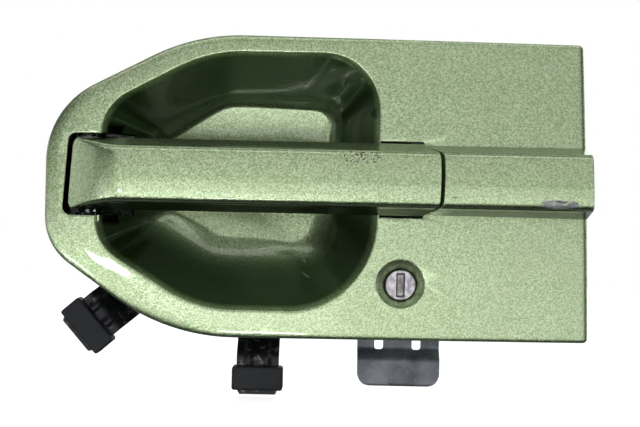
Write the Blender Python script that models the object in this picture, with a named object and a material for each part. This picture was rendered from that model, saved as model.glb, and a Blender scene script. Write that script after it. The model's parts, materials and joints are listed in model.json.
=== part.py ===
"""Car door handle: recessed escutcheon panel with a pull-out strap grip, key lock and latch crank.

Frame, in metres: +X runs along the strap towards the lock end, +Y into the door, +Z up.
Y = 0 is the door skin that the gasket seats on. X = 0 is the panel's mid-length.
Z = 0 is the strap's centre line. All the sizes below are in millimetres.
"""
import math

import bmesh
import bpy
from mathutils import Matrix, Vector

MM = 0.001
GAP = 0.3

# Corners of an outline are (x, z, corner radius), anticlockwise seen from outside the car.
PANEL_CORNERS = [
    (110.5, 58.2, 2), (-51.6, 59.5, 82), (-113.6, 27.3, 36),
    (-113.6, -30.4, 24), (-61.6, -67.6, 86), (115.0, -66.8, 2),
]
CUP_CORNERS = [
    (25.5, 37.9, 23.5), (11.9, 51.9, 22.5), (-45.4, 51.9, 60), (-89.3, 28.6, 20),
    (-92.3, -28.8, 20), (-49.4, -55.4, 54), (4.5, -55.4, 33), (25.0, -31.5, 40),
]
FLOOR_CORNERS = [
    (7.2, 31.2, 9), (-40.0, 31.2, 20), (-67.0, 16.5, 6), (-67.6, -17.0, 6),
    (-43.0, -32.2, 18), (-2.0, -32.2, 11), (4.2, -16.0, 14),
]
POCKET_CORNERS = [(-78.0, 16.8, 1), (-103.8, 16.8, 3.2), (-106.1, -17.3, 3.2), (-78.0, -17.3, 1)]
CUP_CENTRE = (-33.0, -1.5)
RAYS = 60

FACE_Y = -8.0
FACE_CENTRE_Z = -4.0
CROWN_RADIUS_Z = 900.0
CROWN_RADIUS_X = 4000.0
WALL = 2.5
BOSS_ROOT = 1.2
RIB_TOP_Y = -2.6
FLANGE_Y = -1.5
FLANGE_WIDTH = 3.0
EDGE_INSETS = (0.0, 0.5, 1.4, 3.6)
EDGE_ROLL_LEFT = (9.0, 2.6)
EDGE_ROLL_RIGHT = (2.2, 0.9)
CUP_DEPTH = 30.0
CUP_CURVE = 1.7
CUP_LIP = 2.2

STRAP_BASE_Y = -9.5
STRAP_FRONT_Y = -21.0
STRAP_HEEL_Y = -3.5
STRAP_HALF_WIDTH = 14.9
STRAP_DRAFT = 0.4
STRAP_EDGE = 3.6
STRAP_SHELL = 2.0
STRAP_LEFT = -102.3
STRAP_SHOULDER = -86.0
STRAP_RIGHT = 50.5
SPLIT_LEAN = 0.55
SPLIT_GAP = 1.7
STRIP_RIBS_X = (68.0, 84.0, 100.0)
PANEL_RIBS_X = (84.0, 103.0)
GRIP_SCREWS = {"left": -62.0, "right": 12.0}
BUFFER_PLACES = {"upper": (42.0, 10.5), "lower": (42.0, -10.5)}
POCKET_FLOOR_Y = 9.0
# Side view (x, y) of the pocket's housing; its right side follows the cup's wall.
POCKET_HOUSING = [(-112.0, -5.7), (-90.8, -5.7), (-88.0, 0.0), (-83.6, 9.0), (-82.2, 11.6), (-112.0, 11.6)]

HINGE = (-97.0, 3.0)
HINGE_PIN_RADIUS = 2.0
KNUCKLE_RADIUS = 4.6
KNUCKLE_HALF = 9.8

SLOT = (26.0, 44.5)
SLOT_THROUGH_RIGHT = 39.5
SLOT_HALF = 15.9
SLOT_LEDGE_Y = -5.0

HOOK_X = (32.0, 37.0)
CRANK_PIVOT = (20.0, 24.0)
CRANK_ARM = 27.5
CRANK_REST_ANGLE = -20.0
CRANK_HUB_X = (38.0, 48.0)
CRANK_PLATE_X = (42.5, 46.5)
CRANK_PIN_RADIUS = 2.5
FINGER_RADIUS = 2.5
FINGER_PLAY = 1.0
OUTPUT_ARM = 20.0
OUTPUT_ANGLE = 30.0
ROD_CLIP_MIDDLE_X = 49.8
WEIGHT_ANGLE = 118.0
WEIGHT_ARM = 16.5
BRACKET_X = (26.6, 62.0)
BRACKET_Y = (0.5, 3.0)
BRACKET_Z = (-22.0, 45.0)
BRACKET_CHEEKS_X = {"left": 29.6, "right": 50.0}
CHEEK_THICKNESS = 2.4

LOCK = (36.0, -44.0)
LOCK_RECESS_RADIUS = 10.2
LOCK_HOLE_RADIUS = 7.1
PLUG_FACE_RADIUS = 6.3
PLUG_RADIUS = 6.0
BARREL_RADIUS = 9.5
SHUTTER_HINGE_X = LOCK[0] - 1.4
SHUTTER_HINGE_Y = -3.1
LEVER_REACH = 20.0
CLIP_RAIL_REACH = 16.5
# Left edge, right edge and bottom of the retaining clip's finger tail.
CLIP_TAIL = (18.8, 53.8, -87.5)
CLIP_LEG_REACH = 14.0

LUG_THICKNESS = 2.5
LUG_ROOT_Y = 12.3
LUG_TIP_Y = 4.6
PAD_FRONT_Y = 1.2
PAD_STATION = 34.0
LUG_END_STATION = 41.0
# Lug: pad centre x, z, direction away from the panel in degrees, strap width.
LUGS = {
    "left": (-96.3, -64.5, 221.0, 20.0),
    "bottom": (-23.6, -85.4, 270.0, 18.0),
}
LUG_SCREW_STATION = 7.5
LUG_SCREW_SPREAD = 4.5
STUDS = {"upper": (72.5, 44.0), "rear": (94.0, -36.0)}
BRACKET_SCREWS = {"top": (31.0, 40.0), "right": (57.0, 40.0), "bottom": (57.0, -17.0)}


def clear_scene():
    for scene_object in list(bpy.data.objects):
        bpy.data.objects.remove(scene_object)


def material(name, colour, roughness, metallic=0.0):
    """A Principled material in linear colour, made once and shared."""
    found = bpy.data.materials.get(name)
    if found:
        return found
    made = bpy.data.materials.new(name)
    made.use_nodes = True
    shader = made.node_tree.nodes["Principled BSDF"]
    shader.inputs["Base Color"].default_value = (*colour, 1.0)
    shader.inputs["Roughness"].default_value = roughness
    shader.inputs["Metallic"].default_value = metallic
    made.diffuse_color = (*colour, 1.0)
    return made


def green_paint():
    return material("green_metallic_paint", (0.36, 0.47, 0.27), 0.35, 0.5)


def black_steel():
    return material("black_coated_steel", (0.03, 0.03, 0.032), 0.4, 0.6)


def zinc_steel():
    return material("zinc_plated_steel", (0.48, 0.47, 0.45), 0.35, 1.0)


def phosphate_steel():
    return material("phosphated_spring_steel", (0.12, 0.12, 0.12), 0.45, 0.9)


def lock_metal():
    return material("worn_zinc_alloy", (0.42, 0.41, 0.44), 0.4, 1.0)


def rubber():
    return material("black_rubber", (0.015, 0.015, 0.018), 0.75)


def white_nylon():
    return material("natural_nylon", (0.6, 0.58, 0.5), 0.5)


def make_object(name, bm, mat, smooth_angle=35.0):
    """Closes a bmesh in millimetres into a named object in metres."""
    bmesh.ops.remove_doubles(bm, verts=bm.verts, dist=0.0005)
    bmesh.ops.recalc_face_normals(bm, faces=bm.faces)
    bmesh.ops.scale(bm, vec=(MM, MM, MM), verts=bm.verts)
    mesh = bpy.data.meshes.new(name)
    bm.to_mesh(mesh)
    bm.free()
    mesh.shade_smooth()
    mesh.set_sharp_from_angle(angle=math.radians(smooth_angle))
    made = bpy.data.objects.new(name, mesh)
    bpy.context.scene.collection.objects.link(made)
    if mat:
        mesh.materials.append(mat)
    return made


def boolean(target, tool, operation):
    """Adds a Boolean and turns the tool into a wire guide that is never built."""
    tool.hide_render = True
    tool.display_type = "WIRE"
    step = target.modifiers.new(tool.name, "BOOLEAN")
    step.object = tool
    step.operation = operation
    step.solver = "EXACT"
    return target


def cut(target, *tools):
    for tool in tools:
        boolean(target, tool, "DIFFERENCE")
    return target


def join(target, *tools):
    for tool in tools:
        boolean(target, tool, "UNION")
    return target


def is_flat(face):
    face.normal_update()
    corner = face.verts[0].co
    return all(abs((vert.co - corner).dot(face.normal)) < 1e-4 for vert in face.verts)


def loft(name, loops, mat=None, ring=False):
    """Skins loops with equal point counts and caps the ends, or closes them into a ring."""
    bm = bmesh.new()
    rows = [[bm.verts.new(point) for point in loop] for loop in loops]
    pairs = list(zip(rows, rows[1:]))
    if ring:
        pairs.append((rows[-1], rows[0]))
    for first, second in pairs:
        for index in range(len(first)):
            after = (index + 1) % len(first)
            bm.faces.new((first[index], first[after], second[after], second[index]))
    bmesh.ops.triangulate(bm, faces=[face for face in bm.faces if not is_flat(face)])
    if not ring:
        bm.faces.new(rows[0])
        bm.faces.new(rows[-1])
    return make_object(name, bm, mat)


def on_axis(axis, a, b, station):
    """The point with cross coordinates a and b at a station along X, Y or Z."""
    if axis == "X":
        return (station, a, b)
    if axis == "Y":
        return (a, station, b)
    return (a, b, station)


def prism(name, outline, start, end, axis, mat=None):
    """Extrudes a flat outline between two stations along X, Y or Z."""
    loops = [[on_axis(axis, a, b, station) for a, b in outline] for station in (start, end)]
    return loft(name, loops, mat)


def box(name, x_range, y_range, z_range, mat=None):
    outline = [(x_range[0], y_range[0]), (x_range[1], y_range[0])]
    outline += [(x_range[1], y_range[1]), (x_range[0], y_range[1])]
    return prism(name, outline, z_range[0], z_range[1], "Z", mat)


def circle(centre, radius, count):
    turns = [2 * math.pi * step / count for step in range(count)]
    return [(centre[0] + radius * math.cos(t), centre[1] + radius * math.sin(t)) for t in turns]


def cylinder(name, centre, radius, start, end, axis, mat=None, count=24):
    return prism(name, circle(centre, radius, count), start, end, axis, mat)


def turned(name, centre, profile, axis, mat=None, count=24):
    """Turns a closed profile of (radius, station) around an axis into a ring-shaped solid."""
    loops = []
    for step in range(count):
        turn = 2 * math.pi * step / count
        loop = []
        for radius, station in profile:
            a = centre[0] + radius * math.cos(turn)
            b = centre[1] + radius * math.sin(turn)
            loop.append(on_axis(axis, a, b, station))
        loops.append(loop)
    return loft(name, loops, mat, ring=True)


def stepped(name, centre, steps, axis, mat=None, count=16):
    """A solid of stacked round steps, from (station, radius) pairs."""
    loops = []
    for station, radius in steps:
        loops.append([on_axis(axis, a, b, station) for a, b in circle(centre, radius, count)])
    return loft(name, loops, mat)


def washer(name, centre, inner, outer, start, end, axis, mat=None, count=24):
    profile = [(inner, start), (outer, start), (outer, end), (inner, end)]
    return turned(name, centre, profile, axis, mat, count)


def coil(name, centre, radius, wire, start, turns, axis, mat, legs):
    """A helical spring with straight tangential legs, as one round wire."""
    steps = 14
    sides = 6
    pitch = wire * 2 + GAP
    path = []
    for step in range(int(turns * steps) + 1):
        turn = 2 * math.pi * step / steps
        rise = start + pitch * step / steps
        path.append((centre[0] + radius * math.cos(turn), centre[1] + radius * math.sin(turn), rise))
    first = Vector(path[0])
    last = Vector(path[-1])
    end_turn = 2 * math.pi * int(turns * steps) / steps
    lead_in = first - Vector((0, 1, 0)) * legs[0]
    lead_out = last + Vector((-math.sin(end_turn), math.cos(end_turn), 0)) * legs[1]
    path = [tuple(lead_in)] + path + [tuple(lead_out)]
    loops = []
    for index, point in enumerate(path):
        before = Vector(path[max(index - 1, 0)])
        after = Vector(path[min(index + 1, len(path) - 1)])
        forward = (after - before).normalized()
        side = forward.cross(Vector((0, 0, 1))).normalized()
        up = side.cross(forward)
        loop = []
        for corner in range(sides):
            spin = 2 * math.pi * corner / sides
            offset = side * math.cos(spin) * wire + up * math.sin(spin) * wire
            loop.append(on_axis(axis, *(Vector(point) + offset)))
        loops.append(loop)
    return loft(name, loops, mat)


def inset_corners(corners, distance):
    """Moves every edge of a convex outline inwards and shrinks the corner radii to match."""
    moved = []
    count = len(corners)
    for index, (x, z, radius) in enumerate(corners):
        here = Vector((x, z))
        back = (here - Vector(corners[index - 1][:2])).normalized()
        ahead = (Vector(corners[(index + 1) % count][:2]) - here).normalized()
        normal_back = Vector((-back.y, back.x))
        normal_ahead = Vector((-ahead.y, ahead.x))
        bisector = (normal_back + normal_ahead).normalized()
        shift = bisector * (distance / bisector.dot(normal_back))
        moved.append((x + shift.x, z + shift.y, max(radius - distance, 0.3)))
    return moved


def rounded(corners, arc_steps=6):
    """Points of an outline whose corners are arcs."""
    points = []
    count = len(corners)
    for index, (x, z, radius) in enumerate(corners):
        here = Vector((x, z))
        back = (Vector(corners[index - 1][:2]) - here).normalized()
        ahead = (Vector(corners[(index + 1) % count][:2]) - here).normalized()
        half = back.angle(ahead) / 2
        middle = here + (back + ahead).normalized() * (radius / math.sin(half))
        start = here + back * (radius / math.tan(half)) - middle
        sweep = math.pi - 2 * half
        for step in range(arc_steps + 1):
            turn = sweep * step / arc_steps
            arm = Vector((start.x * math.cos(turn) - start.y * math.sin(turn),
                          start.x * math.sin(turn) + start.y * math.cos(turn)))
            points.append((middle.x + arm.x, middle.y + arm.y))
    return points


def ray_distance(outline, angle):
    """Distance from the cup's centre to an outline along one direction."""
    direction = Vector((math.cos(angle), math.sin(angle)))
    centre = Vector(CUP_CENTRE)
    best = 0.0
    for index, point in enumerate(outline):
        a = Vector(outline[index - 1]) - centre
        b = Vector(point) - centre
        side_a = direction.x * a.y - direction.y * a.x
        side_b = direction.x * b.y - direction.y * b.x
        if side_a * side_b > 0 or side_a == side_b:
            continue
        crossing = a + (b - a) * (side_a / (side_a - side_b))
        best = max(best, crossing.dot(direction))
    return best


def panel_angles():
    """Evenly spread directions, with extra ones around the two square right-hand corners."""
    angles = [2 * math.pi * step / RAYS for step in range(RAYS)]
    for x, z, _ in (PANEL_CORNERS[0], PANEL_CORNERS[-1]):
        middle = math.atan2(z - CUP_CENTRE[1], x - CUP_CENTRE[0]) % (2 * math.pi)
        angles = [a for a in angles if abs(a - middle) > 0.04]
        angles += [middle + step for step in (-0.022, -0.012, -0.005, 0.0, 0.005, 0.012, 0.022)]
    return sorted(angles)


def face_height(x, z):
    """Y of the panel's crowned front face."""
    rise = (z - FACE_CENTRE_Z) ** 2 / (2 * CROWN_RADIUS_Z) + x ** 2 / (2 * CROWN_RADIUS_X)
    return FACE_Y + rise


def edge_roll(x, inset):
    """How far the face falls away near the outer edge, more on the left than on the right."""
    share = min(max((x + 70.0) / 120.0, 0.0), 1.0)
    width = EDGE_ROLL_LEFT[0] + (EDGE_ROLL_RIGHT[0] - EDGE_ROLL_LEFT[0]) * share
    drop = EDGE_ROLL_LEFT[1] + (EDGE_ROLL_RIGHT[1] - EDGE_ROLL_LEFT[1]) * share
    if inset >= width:
        return 0.0
    return drop * (1 - math.sqrt(1 - (1 - inset / width) ** 2))


def ray_profile(angle, edges, cup, floor):
    """Front and back section of the panel along one ray, as (distance, y) points."""
    outer_r = ray_distance(edges[0.0], angle)
    cup_r = ray_distance(cup, angle)
    floor_r = ray_distance(floor, angle)
    band = outer_r - cup_r

    def face_point(r, inset):
        x = CUP_CENTRE[0] + r * math.cos(angle)
        z = CUP_CENTRE[1] + r * math.sin(angle)
        return r, face_height(x, z) + edge_roll(x, inset)

    front = [(outer_r, FLANGE_Y)]
    front += [face_point(ray_distance(edges[inset], angle), inset) for inset in EDGE_INSETS]
    for share in (0.55, 0.75):
        inset = band * share
        front.append(face_point(outer_r - inset, inset))
    lip_r, lip_y = face_point(cup_r + CUP_LIP, band - CUP_LIP)
    front.append((lip_r, lip_y))
    front.append((cup_r + CUP_LIP * 0.3, lip_y + CUP_LIP * 0.28))
    rim_y = lip_y + CUP_LIP
    floor_y = FACE_Y + CUP_DEPTH
    for share in (0.0, 0.12, 0.28, 0.46, 0.64, 0.8, 0.92, 1.0):
        depth = 1 - (1 - share) ** CUP_CURVE
        front.append((cup_r + (floor_r - cup_r) * share, rim_y + (floor_y - rim_y) * depth))
    back = []
    for index in (5, 6, 7, 10, 11, 12, 13, 14, 15, 16):
        before = Vector(front[index - 1])
        after = Vector(front[min(index + 1, len(front) - 1)])
        travel = (after - before).normalized()
        normal = Vector((travel.y, -travel.x))
        if index in (5, 6, 7, 16):
            normal = Vector((0.0, 1.0))
        back.append((front[index][0] + normal.x * WALL, front[index][1] + normal.y * WALL))
    flange_r = ray_distance(edges[FLANGE_WIDTH], angle)
    flange_top = face_point(flange_r - 0.2, FLANGE_WIDTH)[1] + WALL
    back = [(flange_r, FLANGE_Y), (flange_r - 0.2, flange_top)] + back
    return front + back[::-1]


def panel_shell(mat):
    """Crowned face, rolled edge and bowl-shaped cup as one wall of even thickness."""
    insets = EDGE_INSETS + (FLANGE_WIDTH,)
    edges = {inset: rounded(inset_corners(PANEL_CORNERS, inset), 10) for inset in insets}
    cup = rounded(CUP_CORNERS, 8)
    floor = rounded(FLOOR_CORNERS, 6)
    angles = panel_angles()
    sections = [ray_profile(angle, edges, cup, floor) for angle in angles]
    stations = len(sections[0])
    loops = []
    for station in range(stations):
        loop = []
        for angle, section in zip(angles, sections):
            r, y = section[station]
            x = CUP_CENTRE[0] + r * math.cos(angle)
            z = CUP_CENTRE[1] + r * math.sin(angle)
            loop.append((x, y, z))
        loops.append(loop)
    front_floor = stations - 13
    order = loops[front_floor::-1] + loops[:front_floor:-1]
    return loft("escutcheon_panel", order, mat)


def strap_half_width(y):
    return STRAP_HALF_WIDTH - STRAP_DRAFT * max(0.0, STRAP_BASE_Y - y)


def strap_section(front_y, base_y, shrink=0.0, narrow=0.0):
    """Section of the strap as (y, z): drafted walls, rounded edges and a crowned front.

    shrink moves the wall inwards for the inner faces; narrow pulls in the width at the end.
    """
    full = STRAP_BASE_Y - STRAP_FRONT_Y
    scale = min(max((STRAP_BASE_Y - front_y) / full, 0.25), 1.0)
    front = front_y + shrink
    edge = STRAP_EDGE * scale
    wall_top = front + edge + 0.2
    crown = 0.8 * scale
    wall_z = strap_half_width(wall_top) - shrink * 1.07 - narrow
    base_z = strap_half_width(base_y) - shrink * 1.07 - narrow
    half = [(base_y, base_z), (wall_top, wall_z)]
    for turn in (30, 60):
        lean = math.radians(turn)
        y = wall_top - (wall_top - front - crown) * math.sin(lean)
        z = wall_z - edge * (1 - math.cos(lean))
        half.append((y, z))
    face_z = wall_z - edge
    half.append((front + crown, face_z))
    half.append((front + crown * 0.25, face_z * 0.5))
    lower = [(y, -z) for y, z in half]
    return half + [(front, 0.0)] + lower[::-1]


def strap_front(x):
    """Front face of the strap: level, then sloping down into the pocket at the hinge end."""
    if x >= STRAP_SHOULDER:
        return STRAP_FRONT_Y
    share = (STRAP_SHOULDER - x) / (STRAP_SHOULDER - STRAP_LEFT)
    drop = STRAP_BASE_Y - STRAP_FRONT_Y
    return STRAP_FRONT_Y + drop * (share ** 1.25) * 1.02


def strap_loops(shrink):
    """Sections of the strap from the hinge end to the leaning split at the lock end."""
    stations = [(-99.4, 0.0)] if shrink else [(-102.3, 2.6), (-101.6, 1.1), (-100.2, 0.2), (-97.5, 0.0)]
    stations += [(-94.5, 0.0), (-91.5, 0.0), (-88.5, 0.0), (-86.0, 0.0), (-40.0, 0.0), (10.0, 0.0)]
    loops = []
    for x, narrow in stations:
        base = 0.0 if shrink else STRAP_HEEL_Y
        loop = []
        for y, z in strap_section(strap_front(x), base, shrink, narrow):
            slant = 0.065 * z * min(max((-84.0 - x) / 10.0, 0.0), 1.0)
            loop.append((x if shrink else x + slant, y, z))
        loops.append(loop)
    end_base = 0.0 if shrink else STRAP_HEEL_Y
    end = []
    for y, z in strap_section(STRAP_FRONT_Y, end_base, shrink):
        end.append((STRAP_RIGHT - SPLIT_LEAN * (y - STRAP_FRONT_Y) - shrink * 1.1, y, z))
    loops.append(end)
    return loops


def fixed_strip():
    """Raised strip that carries the strap's line on to the panel's right edge, and its hollow."""
    def right_edge(z):
        return 112.65 - 0.036 * z

    solid = []
    start = []
    for y, z in strap_section(STRAP_FRONT_Y, -6.2):
        start.append((STRAP_RIGHT + SPLIT_GAP - SPLIT_LEAN * (y - STRAP_FRONT_Y), y, z))
    solid.append(start)
    solid.append([(right_edge(z), y, z) for y, z in strap_section(STRAP_FRONT_Y, -6.2)])
    hollow = []
    for x in (STRAP_RIGHT + 5.5, None):
        section = strap_section(STRAP_FRONT_Y, -3.0, WALL)
        hollow.append([(x if x else right_edge(z) - WALL, y, z) for y, z in section])
    return loft("strip_solid", solid), loft("strip_hollow", hollow)


def lug_frame(pad_x, pad_z, degrees):
    """Start point, direction and cross direction of a lug in the XZ plane."""
    along = Vector((math.cos(math.radians(degrees)), math.sin(math.radians(degrees))))
    across = Vector((-along.y, along.x))
    return Vector((pad_x, pad_z)) - along * PAD_STATION, along, across


def lug_screw_places(key):
    pad_x, pad_z, degrees, _ = LUGS[key]
    start, along, across = lug_frame(pad_x, pad_z, degrees)
    middle = start + along * LUG_SCREW_STATION
    return {
        "outer": middle + across * LUG_SCREW_SPREAD,
        "inner": middle - across * LUG_SCREW_SPREAD,
    }


def escutcheon_panel():
    """Moulded shell with its pocket, slot, lock seat, strip, bosses and ribs."""
    panel = panel_shell(green_paint())
    pocket_outer = prism("pocket_outer", rounded(inset_corners(POCKET_CORNERS, -WALL), 4), -5.6, 11.5, "Y")
    boolean(pocket_outer, prism("pocket_housing", POCKET_HOUSING, -24.0, 24.0, "Z"), "INTERSECT")
    ledge = box("slot_ledge", (38.5, 48.0), (-6.6, -2.5), (-18.0, 18.0))
    strip_solid, strip_hollow = fixed_strip()
    lock_boss = cylinder("lock_boss", LOCK, 13.5, -5.2, 1.0, "Y", count=32)
    join(panel, pocket_outer, ledge, strip_solid, lock_boss)
    for key in LUGS:
        for side, place in lug_screw_places(key).items():
            join(panel, cylinder(f"lug_boss_{key}_{side}", place, 3.0, -4.4, 12.0, "Y", count=14))
    for key, place in STUDS.items():
        root = face_height(*place) + BOSS_ROOT
        join(panel, cylinder(f"stud_boss_{key}", place, 6.0, root, -0.6, "Y", count=20))
    for key, place in BRACKET_SCREWS.items():
        root = face_height(*place) + BOSS_ROOT
        join(panel, cylinder(f"bracket_boss_{key}", place, 4.0, root, 0.2, "Y", count=16))
    join(panel, cylinder("hinge_boss_upper", HINGE, 5.2, 16.0, 20.6, "Z", count=18))
    join(panel, cylinder("hinge_boss_lower", HINGE, 5.2, -21.1, -16.5, "Z", count=18))
    for index, x in enumerate(PANEL_RIBS_X):
        for half, (low, high) in (("upper", (17.0, 52.0)), ("lower", (-60.0, -17.5))):
            rib = [(face_height(x, low) + BOSS_ROOT, low), (face_height(x, high) + BOSS_ROOT, high)]
            rib += [(RIB_TOP_Y, high), (RIB_TOP_Y, low)]
            join(panel, prism(f"rib_{half}_{index}", rib, x - 0.8, x + 0.8, "X"))
    for index, side in enumerate((-1, 1)):
        edge = LOCK[0] + side * CLIP_RAIL_REACH
        rail = [(edge - side * 1.0, -5.6), (edge + side * 2.0, -5.6), (edge + side * 2.0, 8.6)]
        rail += [(edge - side * 3.2, 8.6), (edge - side * 3.2, 6.6), (edge - side * 1.0, 6.6)]
        join(panel, prism(f"clip_rail_{index}", rail, -52.0, -38.0, "Z"))

    pocket = prism("pocket_cut", rounded(POCKET_CORNERS, 4), -14.0, POCKET_FLOOR_Y, "Y")
    slot_front = box("slot_front_cut", SLOT, (-14.0, SLOT_LEDGE_Y), (-SLOT_HALF, SLOT_HALF))
    slot_through = box("slot_through_cut", (SLOT[0], SLOT_THROUGH_RIGHT), (-14.1, 3.0),
                       (-SLOT_HALF + 0.4, SLOT_HALF - 0.4))
    recess = lock_recess_cutter()
    pin_hole = cylinder("hinge_pin_hole", HINGE, HINGE_PIN_RADIUS + GAP, -24.0, 24.0, "Z", count=16)
    cut(panel, strip_hollow, pocket, slot_front, slot_through, recess, pin_hole)
    for key in LUGS:
        for side, place in lug_screw_places(key).items():
            cut(panel, cylinder(f"lug_pilot_{key}_{side}", place, 1.5, 2.0, 14.0, "Y", count=10))
    for key, place in STUDS.items():
        cut(panel, cylinder(f"stud_seat_{key}", place, 3.3, -3.6, 2.0, "Y", count=16))
    for key, place in BRACKET_SCREWS.items():
        cut(panel, cylinder(f"bracket_pilot_{key}", place, 1.8, -4.4, 2.0, "Y", count=10))
    for index, x in enumerate(STRIP_RIBS_X):
        rib = [(-19.2, -7.2), (-15.5, -11.3), (-6.6, -12.8), (-6.6, 12.8), (-15.5, 11.3), (-19.2, 7.2)]
        join(panel, prism(f"strip_rib_{index}", rib, x - 0.7, x + 0.7, "X"))
    return panel


def lock_recess_cutter():
    """Dished seat round the key lock: a cone that narrows to the lock's hole."""
    surface = face_height(LOCK[0], LOCK[1])
    stations = [(surface - 3.0, LOCK_RECESS_RADIUS + 1.6), (surface - 0.1, LOCK_RECESS_RADIUS + 0.3)]
    stations += [(surface + 0.9, LOCK_RECESS_RADIUS - 0.9), (surface + 3.6, LOCK_HOLE_RADIUS + 0.5)]
    stations += [(surface + 4.2, LOCK_HOLE_RADIUS), (4.0, LOCK_HOLE_RADIUS)]
    loops = [[(x, y, z) for x, z in circle(LOCK, radius, 32)] for y, radius in stations]
    return loft("lock_recess_cut", loops)


def perimeter_gasket():
    """Foam seal between the panel's flange and the door skin."""
    angles = panel_angles()
    loops = []
    for inset, y in ((0.6, -1.2), (0.6, 0.0), (2.9, 0.0), (2.9, -1.2)):
        outline = rounded(inset_corners(PANEL_CORNERS, inset), 10)
        loop = []
        for angle in angles:
            r = ray_distance(outline, angle)
            x = CUP_CENTRE[0] + r * math.cos(angle)
            z = CUP_CENTRE[1] + r * math.sin(angle)
            loop.append((x, y, z))
        loops.append(loop)
    return loft("perimeter_gasket", loops, rubber(), ring=True)


def grip_cover():
    """Painted outer shell of the strap, open at the back."""
    cover = loft("grip_cover", strap_loops(0.0), green_paint())
    back = [(-92.0, 4.0), (-92.0, STRAP_HEEL_Y + 0.5), (-83.6, STRAP_BASE_Y)]
    back += [(70.0, STRAP_BASE_Y), (70.0, 4.0)]
    cut(cover, prism("grip_cover_back", back, -20.0, 20.0, "Z"))
    cut(cover, loft("grip_cover_hollow", strap_loops(STRAP_SHELL)))
    for key, x in GRIP_SCREWS.items():
        boss = cylinder(f"cover_boss_{key}", (x, 0.0), 4.0, STRAP_FRONT_Y + 1.5, -15.0, "Y", count=16)
        join(cover, boss)
        cut(cover, cylinder(f"cover_pilot_{key}", (x, 0.0), 1.9, -18.4, -14.0, "Y", count=12))
    return cover


def arc(centre, radius, start, end, steps):
    points = []
    for step in range(steps + 1):
        turn = math.radians(start + (end - start) * step / steps)
        points.append((centre[0] + radius * math.cos(turn), centre[1] + radius * math.sin(turn)))
    return points


def hook_nose_y():
    """Y of the face that pulls the crank's finger."""
    rest = math.radians(CRANK_REST_ANGLE)
    return CRANK_PIVOT[0] - CRANK_ARM * math.sin(rest) + FINGER_RADIUS + FINGER_PLAY


def grip_carrier():
    """Die-cast frame inside the strap, with the hinge knuckle and the hook that pulls the crank."""
    bar = [(40.5, -9.8), (40.5, -16.2), (-84.0, -16.2), (-84.0, -9.8)]
    loops = []
    for z in (-10.4, -8.4, 8.4, 10.4):
        depth = 0.0 if abs(z) < 10 else 3.6
        loops.append([(x, y + (depth if y < -12 else 0.0), z) for x, y in bar])
    carrier = loft("grip_carrier", loops, black_steel())
    neck = [(-82.0, -10.0), (-82.0, -15.9), (-87.5, -15.9), (-94.0, -10.6), (-98.0, -6.8), (-99.4, -4.4)]
    neck += [(-99.4, 0.0)] + arc(HINGE, KNUCKLE_RADIUS, 195, 0, 10)
    neck += [(HINGE[0] + KNUCKLE_RADIUS, -3.0), (-89.5, -7.6), (-86.0, -10.0)]
    join(carrier, prism("carrier_neck", neck, -KNUCKLE_HALF, KNUCKLE_HALF, "Z"))
    nose = hook_nose_y() + 1.2
    shank = [(-11.0, -10.2), (-9.0, -10.2), (-7.0, -13.0), (nose + 4.0, -13.0)]
    shank += [(nose + 4.0, 3.0), (nose, 3.0), (nose, -7.2), (-11.0, -7.2)]
    join(carrier, prism("carrier_hook", shank, HOOK_X[0], HOOK_X[1], "X"))
    gusset = [(-12.0, -10.0), (-9.0, -10.0), (2.0, -10.0), (2.0, -9.0), (-9.0, 6.0), (-12.0, 6.0)]
    join(carrier, prism("carrier_gusset", gusset, HOOK_X[0] + 0.8, HOOK_X[1] - 0.8, "X"))
    pin_hole = cylinder("knuckle_bore", HINGE, HINGE_PIN_RADIUS + GAP, -20.0, 20.0, "Z", count=16)
    cut(carrier, pin_hole)
    for key, x in GRIP_SCREWS.items():
        hole = [(-20.0, 4.5), (-14.6, 4.5), (-14.6, 2.2), (-12.4, 2.2), (-12.4, 4.3), (-8.0, 4.3)]
        cut(carrier, stepped(f"carrier_hole_{key}", (x, 0.0), hole, "Y"))
    return carrier


def hook_sleeve():
    """Nylon wear sleeve pushed over the hook's nose."""
    nose = hook_nose_y() + 1.2
    sleeve = box("hook_sleeve", (HOOK_X[0] - 1.1, HOOK_X[1] + 1.1), (nose - 1.2, nose + 5.2),
                 (-4.6, 4.2), white_nylon())
    socket = box("sleeve_socket", (HOOK_X[0] - GAP, HOOK_X[1] + GAP), (nose - GAP, nose + 4.0 + GAP),
                 (-6.0, 3.0 + GAP))
    return cut(sleeve, socket)


def pan_screw(name, place, head_y, tip_y, shank, head, mat):
    """Pan-head screw along Y with a cross recess; the head faces into the door."""
    direction = 1.0 if tip_y < head_y else -1.0
    body = cylinder(name, place, head, head_y, head_y + direction * 2.2, "Y", mat, count=18)
    join(body, cylinder(f"{name}_shank", place, shank, head_y + direction * 1.0, tip_y, "Y", count=12))
    recess = tuple(sorted((head_y + direction * 1.2, head_y + direction * 3.0)))
    long_arm = head * 0.62
    short_arm = 0.45
    for tag, wide, tall in (("a", long_arm, short_arm), ("b", short_arm, long_arm)):
        cut(body, box(f"{name}_recess_{tag}", (place[0] - wide, place[0] + wide), recess,
                      (place[1] - tall, place[1] + tall)))
    return body


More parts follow.
